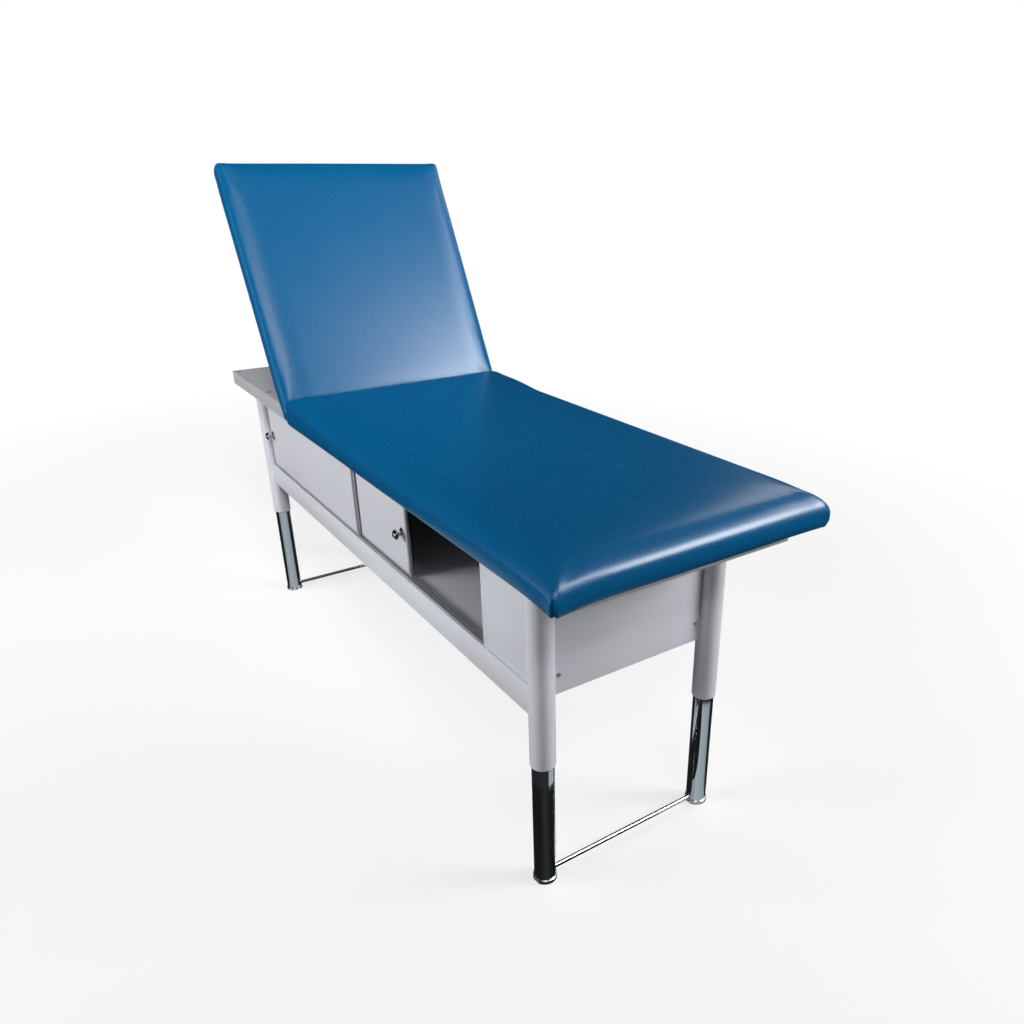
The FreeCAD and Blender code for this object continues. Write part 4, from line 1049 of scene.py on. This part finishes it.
@dataclass
class SeatPad(Cushion):
    """The long pad, coved at its head end for the nose of the back pad."""

    HEAD_REACH: ClassVar[float] = 18 * MM
    nose: float = 31.5 * MM
    back_angles: Tuple[float, ...] = ()
    back_front: float = 33.5 * MM
    droops: Tuple[float, float] = (10 * MM, 2 * MM)
    droop_radius: float = 118 * MM
    droop_foot: float = 0.8
    droop_top: float = 0.5
    cove_reach: float = 60 * MM
    refine_reaches: Tuple[float, ...] = (60 * MM, 28 * MM)
    pleat_height: float = 34 * MM
    pleat_drop: float = 10 * MM
    pleat_depth: float = 5.5 * MM
    pleat_reach: float = 40 * MM
    pleat_width: float = 2.2 * MM
    lip_share: float = 0.3
    lip_place: float = 6 * MM
    lip_width: float = 3.5 * MM

    def detail(self, piece: bpy.types.Object) -> None:
        """Coves the head end and draws the foot corners down to a pleat."""
        self._cove(piece)
        for side in Side:
            droop = self.droops[0 if side is Side.FRONT else 1]
            self._corner(piece, Vector((self.high.x, side.value * self.high.y, 0.0)), side, droop)

    def _cove(self, piece: bpy.types.Object) -> None:
        """Pushes the head end out of the room that the back pad needs."""
        rows = Bench.points(piece)
        x, z = rows[:, 0] - self.hinge.x, rows[:, 2] - self.hinge.z
        for angle in self.back_angles:
            face = self.back_front - (x * math.sin(angle) + z * math.cos(angle))
            x = x + np.where((z > 0) & (x < self.cove_reach), np.maximum(face, 0.0) / math.sin(angle), 0.0)
        reach = np.sqrt(np.maximum(self.nose ** 2 - z ** 2, 0.0))
        rows[:, 0] = np.maximum(x, reach) + self.hinge.x
        Bench.move_points(piece, rows)

    def _corner(self, piece: bpy.types.Object, corner: Vector, side: Side, droop: float) -> None:
        """Lowers one foot corner and folds a pleat into its foot.

        Args:
            piece: The pad.
            corner: The corner of its box.
            side: Which long side the corner is on.
            droop: How far it hangs.
        """
        for reach in self.refine_reaches:
            self._refine(piece, corner, reach)
        rows = Bench.points(piece)
        dx, dy = corner.x - rows[:, 0], side.value * (corner.y - rows[:, 1])
        near = np.clip(1.0 - np.hypot(dx, dy) / self.droop_radius, 0.0, 1.0)
        share = np.clip((rows[:, 2] - self.low.z) / (self.high.z - self.low.z), 0.0, 1.0)
        rows[:, 2] -= droop * near ** 2 * (self.droop_foot + self.droop_top * share)
        off = (dx - dy) / math.sqrt(2)
        low = np.clip(1.0 - (rows[:, 2] - self.low.z + self.pleat_drop) / self.pleat_height, 0.0, 1.0)
        close = (dx + dy) < self.pleat_reach
        lip = np.exp(-((np.abs(off) - self.lip_place) / self.lip_width) ** 2)
        groove = np.exp(-(off / self.pleat_width) ** 2) - self.lip_share * lip
        groove *= self.pleat_depth * np.sqrt(low) * close
        rows[:, 0] -= groove / math.sqrt(2)
        rows[:, 1] -= side.value * groove / math.sqrt(2)
        Bench.move_points(piece, rows)

    @staticmethod
    def _refine(piece: bpy.types.Object, corner: Vector, reach: float) -> None:
        """Subdivides the faces near one corner."""
        Bench.activate(piece)
        bpy.context.tool_settings.mesh_select_mode = (False, False, True)
        bpy.ops.object.mode_set(mode="EDIT")
        bpy.ops.mesh.select_all(action="DESELECT")
        bpy.ops.object.mode_set(mode="OBJECT")
        for face in piece.data.polygons:
            offset = face.center - corner
            face.select = max(abs(offset.x), abs(offset.y)) < reach
        bpy.ops.object.mode_set(mode="EDIT")
        bpy.ops.mesh.subdivide(number_cuts=1, smoothness=0.6)
        bpy.ops.object.mode_set(mode="OBJECT")


@dataclass
class BackPad(Cushion):
    """The raised pad, round at its hinged end and cut out for the hinge brackets."""

    notch_places: Tuple[float, ...] = (-180 * MM, 180 * MM)
    notch_half: float = 22.5 * MM
    notch_reach: float = 19 * MM
    notch_start: float = 66 * MM
    nose: float = 30.5 * MM
    nose_spare: float = 3 * MM
    nose_span: float = 14 * MM
    ease_start: float = 10 * MM
    ease_run: float = 24 * MM

    def detail(self, piece: bpy.types.Object) -> None:
        """Keeps the nose inside the seat's cove and cuts the hinge notches."""
        self._trim_nose(piece)
        for number, y in enumerate(self.notch_places):
            low = Vector((self.hinge.x - self.notch_reach, y - self.notch_half, self.hinge.z - self.notch_start))
            high = Vector((self.hinge.x + self.notch_start, y + self.notch_half, self.hinge.z + self.notch_reach))
            cutter = Bench.block(f"notch_cutter_{number}", low, high)
            Bench.apply(piece, "BOOLEAN", operation="DIFFERENCE", solver="EXACT", object=cutter)
            bpy.data.objects.remove(cutter)

    def _trim_nose(self, piece: bpy.types.Object) -> None:
        """Draws the hinged end in to a round about the hinge."""
        rows = Bench.points(piece)
        x, z = rows[:, 0] - self.hinge.x, rows[:, 2] - self.hinge.z
        ease = np.clip((self.ease_start - x) / self.ease_run, 0.0, 1.0)
        limit = self.nose + self.nose_spare * ease * ease * (3.0 - 2.0 * ease)
        inward = np.minimum(limit / np.maximum(np.hypot(x, z), self.TINY), 1.0)
        share = np.where(x > -self.nose_span, inward, 1.0)
        rows[:, 0] = self.hinge.x + x * share
        rows[:, 2] = self.hinge.z + z * share
        Bench.move_points(piece, rows)


@dataclass
class Upholstery(Assembly):
    """Seat and back pads on their boards."""

    SEAT_HEAD: ClassVar[Edge] = Edge(14 * MM, 12 * MM, 0.0)
    SEAT_FOOT: ClassVar[Edge] = Edge(46 * MM, 30 * MM, 9 * MM, 10 * MM, 140 * MM)
    SEAT_SIDE: ClassVar[Edge] = Edge(44 * MM, 32 * MM, 7 * MM, 7 * MM)
    BACK_TOP: ClassVar[Edge] = Edge(15 * MM, 16 * MM, 11 * MM, 8 * MM, 70 * MM, 1.2)
    BACK_NOSE: ClassVar[Edge] = Edge(40 * MM, 30 * MM, 28 * MM, 3 * MM, 90 * MM)
    BACK_SIDE: ClassVar[Edge] = Edge(14 * MM, 16 * MM, 12 * MM, 10 * MM, 80 * MM, 1.2)
    seat_corners: Tuple[float, float] = (5 * MM, 11 * MM)
    back_corners: Tuple[float, float] = (14 * MM, 6 * MM)
    seat_head_firm: float = 0.55
    back_rim: float = 1.5 * MM
    back_front: float = 32.5 * MM
    back_rear: float = 27.5 * MM
    back_length: float = 627 * MM
    back_nose: float = 30 * MM
    half_width: float = 304.8 * MM
    board_start: float = 26 * MM
    board_end: float = 607 * MM
    board_inset: float = 16 * MM

    def build(self) -> List[bpy.types.Object]:
        """Makes both pads.

        Returns:
            The pads.
        """
        tilt = next(j for j in self.frame["joints"] if j["name"] == "back_tilt")
        hinge, angle = Vector(tilt["pos_m"]), math.radians(-tilt["range_deg"][0])
        PLYWOOD.dress(self.node("seat_board"), self.node("back_board"))
        upright = angle + math.radians(tilt["range_deg"][1])
        return self._seat(hinge, (angle, upright)) + self._back(hinge, angle)

    def _seat(self, hinge: Vector, angles: Tuple[float, ...]) -> List[bpy.types.Object]:
        """The seat pad."""
        low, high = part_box("seat_cushion")
        low.x -= SeatPad.HEAD_REACH
        pad = SeatPad(self.frame, "seat_pad", "seat_cushion", "frame", low, high, *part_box("seat_board"),
                      Matrix.Identity(4), self.SEAT_HEAD, self.SEAT_FOOT, self.SEAT_SIDE, *self.seat_corners, hinge,
                      head_firm=self.seat_head_firm, back_angles=angles)
        return pad.build()

    def _back(self, hinge: Vector, angle: float) -> List[bpy.types.Object]:
        """The back pad."""
        low = hinge + Vector((-self.back_length, -self.half_width, -self.back_rear))
        high = hinge + Vector((self.back_nose, self.half_width, self.back_front))
        inner = self.half_width - self.board_inset
        board_low = hinge + Vector((-self.board_end, -inner, 0.0))
        board_high = hinge + Vector((-self.board_start, inner, 0.0))
        about = Matrix.Translation(hinge)
        turn = about @ Matrix.Rotation(angle, 4, "Y") @ about.inverted()
        pad = BackPad(self.frame, "back_pad", "back_cushion", "back", low, high, board_low, board_high, turn,
                      self.BACK_TOP, self.BACK_NOSE, self.BACK_SIDE, *self.back_corners, hinge, rim=self.back_rim)
        return pad.build()


@dataclass
class Legs(Assembly):
    """Sleeves, chromed inner legs, foot cups and crossbars."""

    PLACES: ClassVar[Tuple[str, ...]] = ("head_front", "head_rear", "foot_front", "foot_rear")
    lip: float = 2.6 * MM
    wall: float = 2.0 * MM
    bead: float = 0.5 * MM
    bead_levels: Tuple[float, ...] = (0.4 * MM, 6 * MM, 8 * MM)
    tube_wall: float = 2.5 * MM
    bar_edge: float = 0.2 * MM
    cup_edge: float = 1.6 * MM
    cup_groove: float = 1.1 * MM
    groove_start: float = 2.6 * MM
    groove_spare: float = 0.3 * MM
    cup_wall: float = 2.2 * MM
    cup_floor: float = 4 * MM
    cup_rim_drop: float = 0.6 * MM

    def build(self) -> List[bpy.types.Object]:
        """Makes the legs' visible pieces.

        Returns:
            The new pieces.
        """
        made = [self._sleeve(place) for place in self.PLACES]
        for end in ("head", "foot"):
            made += self._turned_pair(end, "_inner_legs", "tube", self._tube_profile, CHROME)
            made += self._turned_pair(end, "_foot_caps", "cup", self._cup_profile, SATIN)
            bar = Bench.softened(end + "_bar", self.node(end + "_crossbar"), self.bar_edge, 1)
            made.append(self.add(bar, CHROME, "chrome", end + "_legs", end + "_crossbar"))
        return made

    @staticmethod
    def _arc(centre: Tuple[float, float], radius: float, start: float, end: float, steps: int) -> Profile:
        """Points on an arc of a profile; angles in degrees."""
        turns = [math.radians(start + (end - start) * i / steps) for i in range(steps + 1)]
        return [(centre[0] + radius * math.cos(t), centre[1] + radius * math.sin(t)) for t in turns]

    def _sleeve(self, place: str) -> bpy.types.Object:
        """Painted sleeve with its lower end rolled in."""
        node = "leg_sleeve_" + place
        low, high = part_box(node)
        radius = (high.x - low.x) / 2
        length = high.z - low.z
        inner = radius - self.wall
        profile = [(inner, length), (radius, length)]
        profile += self._arc((radius - self.lip, self.lip), self.lip, 0, -90, 6)
        start, end, top = self.bead_levels
        profile += [(inner - self.bead, start), (inner - self.bead, end), (inner, top)]
        foot = Vector(((low.x + high.x) / 2, (low.y + high.y) / 2, low.z))
        piece = Bench.lathe("sleeve_" + place, profile, foot, steps=72)
        return self.add(piece, COAT, "white_coat", "frame", node)

    def _turned_pair(self, end: str, node: str, name: str,
                     shape: Callable[[float, float], Profile], finish: Finish) -> List[bpy.types.Object]:
        """Two turned pieces in place of a node with two solids.

        Args:
            end: "head" or "foot".
            node: The node's name after the end.
            name: The pieces' name after the end.
            shape: Gives the profile from the radius and the height.
            finish: The pieces' plating.

        Returns:
            The pieces.
        """
        low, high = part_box(end + node)
        radius = (high.x - low.x) / 2
        made = []
        for side in Side:
            y = side.value * ((high.y - low.y) / 2 - radius)
            piece = Bench.lathe(f"{end}_{name}_{side.name.lower()}", shape(radius, high.z - low.z),
                                Vector(((low.x + high.x) / 2, y, low.z)), steps=96)
            made.append(self.add(piece, finish, "chrome", end + "_legs", end + node))
        return made

    def _tube_profile(self, radius: float, height: float) -> Profile:
        """Plain tube."""
        inner = radius - self.tube_wall
        return [(inner, 0.0), (radius, 0.0), (radius, height), (inner, height), (inner, 0.0)]

    def _cup_profile(self, radius: float, height: float) -> Profile:
        """Shallow cup with a rolled rim, a groove under it and a flared sole."""
        edge = self.cup_edge
        profile = [(0.0, 0.0), (radius - 0.5 * edge, 0.0)]
        profile += self._arc((radius - 0.5 * edge, 0.5 * edge), 0.5 * edge, -90, 60, 4)
        groove, inner = radius - self.cup_groove, radius - self.cup_wall
        profile += [(groove, self.groove_start), (groove, height - 2 * edge - self.groove_spare)]
        profile += self._arc((radius - edge, height - edge), edge, -40, 110, 7)
        return profile + [(inner, height - self.cup_rim_drop), (inner, self.cup_floor), (0.0, self.cup_floor)]


@dataclass
class Cabinet(Assembly):
    """Deck, panels, doors, tracks and screws.

    The knob's profile is in millimetres from the door, the screw head's in shares of its radius and height.
    """

    KNOB: ClassVar[Profile] = (
        (0.0, 0.0), (13.2, 0.0), (13.5, 0.4), (13.5, 1.0), (12.9, 1.7), (11.2, 2.2), (9.2, 2.5), (6.6, 3.0),
        (5.2, 4.2), (4.6, 6.0), (4.5, 8.2), (4.9, 10.0), (6.4, 11.4), (9.0, 12.2), (11.2, 13.2), (12.3, 14.8),
        (12.5, 16.2), (12.1, 17.8), (11.0, 19.6), (9.0, 21.4), (6.2, 22.9), (3.2, 23.8), (0.0, 24.0))
    SCREW_HEAD: ClassVar[Profile] = (
        (0.0, 0.0), (1.0, 0.0), (1.0, 0.35), (0.93, 0.65), (0.75, 0.87), (0.45, 0.97), (0.0, 1.0))
    RECESS_ARMS: ClassVar[Profile] = ((0.55, 0.13), (0.13, 0.55))
    sheet_edge: float = 0.5 * MM
    apron_edge: float = 1.4 * MM
    door_edge: float = 0.8 * MM
    deck_edge: float = 1.6 * MM
    track_edge: float = 0.25 * MM
    strip_edge: float = 0.6 * MM
    recess: float = 0.55 * MM

    def build(self) -> List[bpy.types.Object]:
        """Makes the cabinet's visible pieces.

        Returns:
            The new pieces.
        """
        panels = ("head_end_panel", "foot_end_panel", "front_fixed_panel", "rear_panel", "cabinet_floor")
        made = [self._sheet(node, COAT, "white_coat", self.sheet_edge) for node in panels]
        made += [self._sheet(node, COAT, "white_coat", self.apron_edge) for node in ("front_apron", "rear_apron")]
        # The deck takes the darker copy of the pale coat, painted shade under the back pad.
        made.append(self._sheet("deck", SHADED_DECK_COAT, "white_coat", self.deck_edge, segments=4))
        tracks = ("lower_track", "upper_track")
        made += [self._sheet(node, ALUMINIUM, "aluminium", self.track_edge) for node in tracks]
        for door in ("one", "two"):
            body = f"door_{door}_body"
            made.append(self._sheet(f"door_{door}", COAT, "white_coat", self.door_edge, body))
            made.append(self._sheet(f"door_{door}_strips", ALUMINIUM, "aluminium", self.strip_edge, body))
            made.append(self._knob(door, body))
        made += self._screws()
        COAT.dress(*[self.node(n) for n in ("front_rail", "rear_rail", "cross_members")])
        DARK_COAT.dress(self.node("drive_partition"))
        return made

    def _sheet(self, node: str, finish: Finish, slot: str, edge: float, body: str = "frame",
               segments: int = 2) -> bpy.types.Object:
        """Piece of sheet or bar with broken edges."""
        piece = Bench.softened(node + "_sheet", self.node(node), edge, segments)
        return self.add(piece, finish, slot, body, node)

    def _knob(self, door: str, body: str) -> bpy.types.Object:
        """Mushroom knob on its rosette."""
        node = f"door_{door}_knob"
        low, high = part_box(node)
        place = Vector(((low.x + high.x) / 2, high.y, (low.z + high.z) / 2))
        profile = [(radius * MM, height * MM) for radius, height in self.KNOB]
        piece = Bench.lathe(node + "_turned", profile, place, Vector((0, -1, 0)), 48)
        return self.add(piece, NICKEL, "chrome", body, node)

    def _screws(self) -> List[bpy.types.Object]:
        """Pan-head screws with cross recesses in the places of the node's plain heads."""
        places = Bench.loose_boxes(self.node("frame_screws"))
        head = None
        made = []
        for number, (low, high) in enumerate(places):
            size = high - low
            flat = min(range(3), key=lambda i: size[i])
            out = Vector()
            out[flat] = 1.0 if flat == 2 else math.copysign(1.0, (low + high)[flat])
            radius = max(size) / 2
            foot = (low + high) / 2 - out * size[flat] / 2
            if head is None:
                head = self._screw_head(radius, size[flat])
            turn = Vector((0, 0, 1)).rotation_difference(out).to_matrix().to_4x4()
            made.append(Bench.copy(head, f"pan_screw_{number:02d}", Matrix.Translation(foot) @ turn))
        bpy.data.objects.remove(head)
        return [self.add(piece, STEEL, "steel", "frame", "frame_screws") for piece in made]

    def _screw_head(self, radius: float, height: float) -> bpy.types.Object:
        """Domed head with a cross recess, standing on the origin."""
        profile = [(across * radius, up * height) for across, up in self.SCREW_HEAD]
        head = Bench.lathe("pan_screw", profile, Vector(), steps=24)
        for long, wide in self.RECESS_ARMS:
            low = Vector((-long * radius, -wide * radius, height - 2 * self.recess))
            slot = Bench.block("recess", low, Vector((long * radius, wide * radius, 2 * height)))
            Bench.apply(head, "BOOLEAN", operation="DIFFERENCE", solver="EXACT", object=slot)
            bpy.data.objects.remove(slot)
        Bench.smooth(head)
        return head


@dataclass
class Drive(Assembly):
    """Lift and back mechanisms behind the panels."""

    def build(self) -> List[bpy.types.Object]:
        """Dresses the mechanism's nodes.

        Returns:
            No new pieces.
        """
        screws = [name for name in self.frame["nodes"] if name.startswith("lead_screw")]
        finishes = {
            STEEL: ["deck_bearers", "hinge_brackets", "anchor_bracket", "pivot_pins", "screw_bearings",
                    "back_brackets", "lug_pin", "motor_pulley"] + screws,
            DARK_COAT: ["lift_motor", "actuator_motor"],
            MOULDING: ["guide_bushes", "control_box", "power_inlet", "actuator_housing"],
            RUBBER: ["sync_belt", "drive_belt"],
            BRONZE: ["head_lift_nuts", "foot_lift_nuts"],
            CHROME: ["actuator_rod"],
            ALUMINIUM: ["actuator_tube"],
        }
        for finish, names in finishes.items():
            finish.dress(*[self.node(name) for name in names])
        return []


def main() -> None:
    """Builds the sub-assemblies in order."""
    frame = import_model()
    PhotoCamera().build()
    legs = [sum(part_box("leg_sleeve_" + place), Vector()) / 2 for place in Legs.PLACES]
    Stage(leg_places=[tuple(leg) for leg in legs]).build()
    for part in (Cabinet(frame), Legs(frame), Drive(frame), Upholstery(frame)):
        for piece in part.build():
            LOG.info("%s: %d faces", piece.name, len(piece.data.polygons))
    bpy.context.view_layer.update()


if __name__ == "__main__":
    logging.basicConfig(level=logging.INFO, format="%(message)s")
    main()
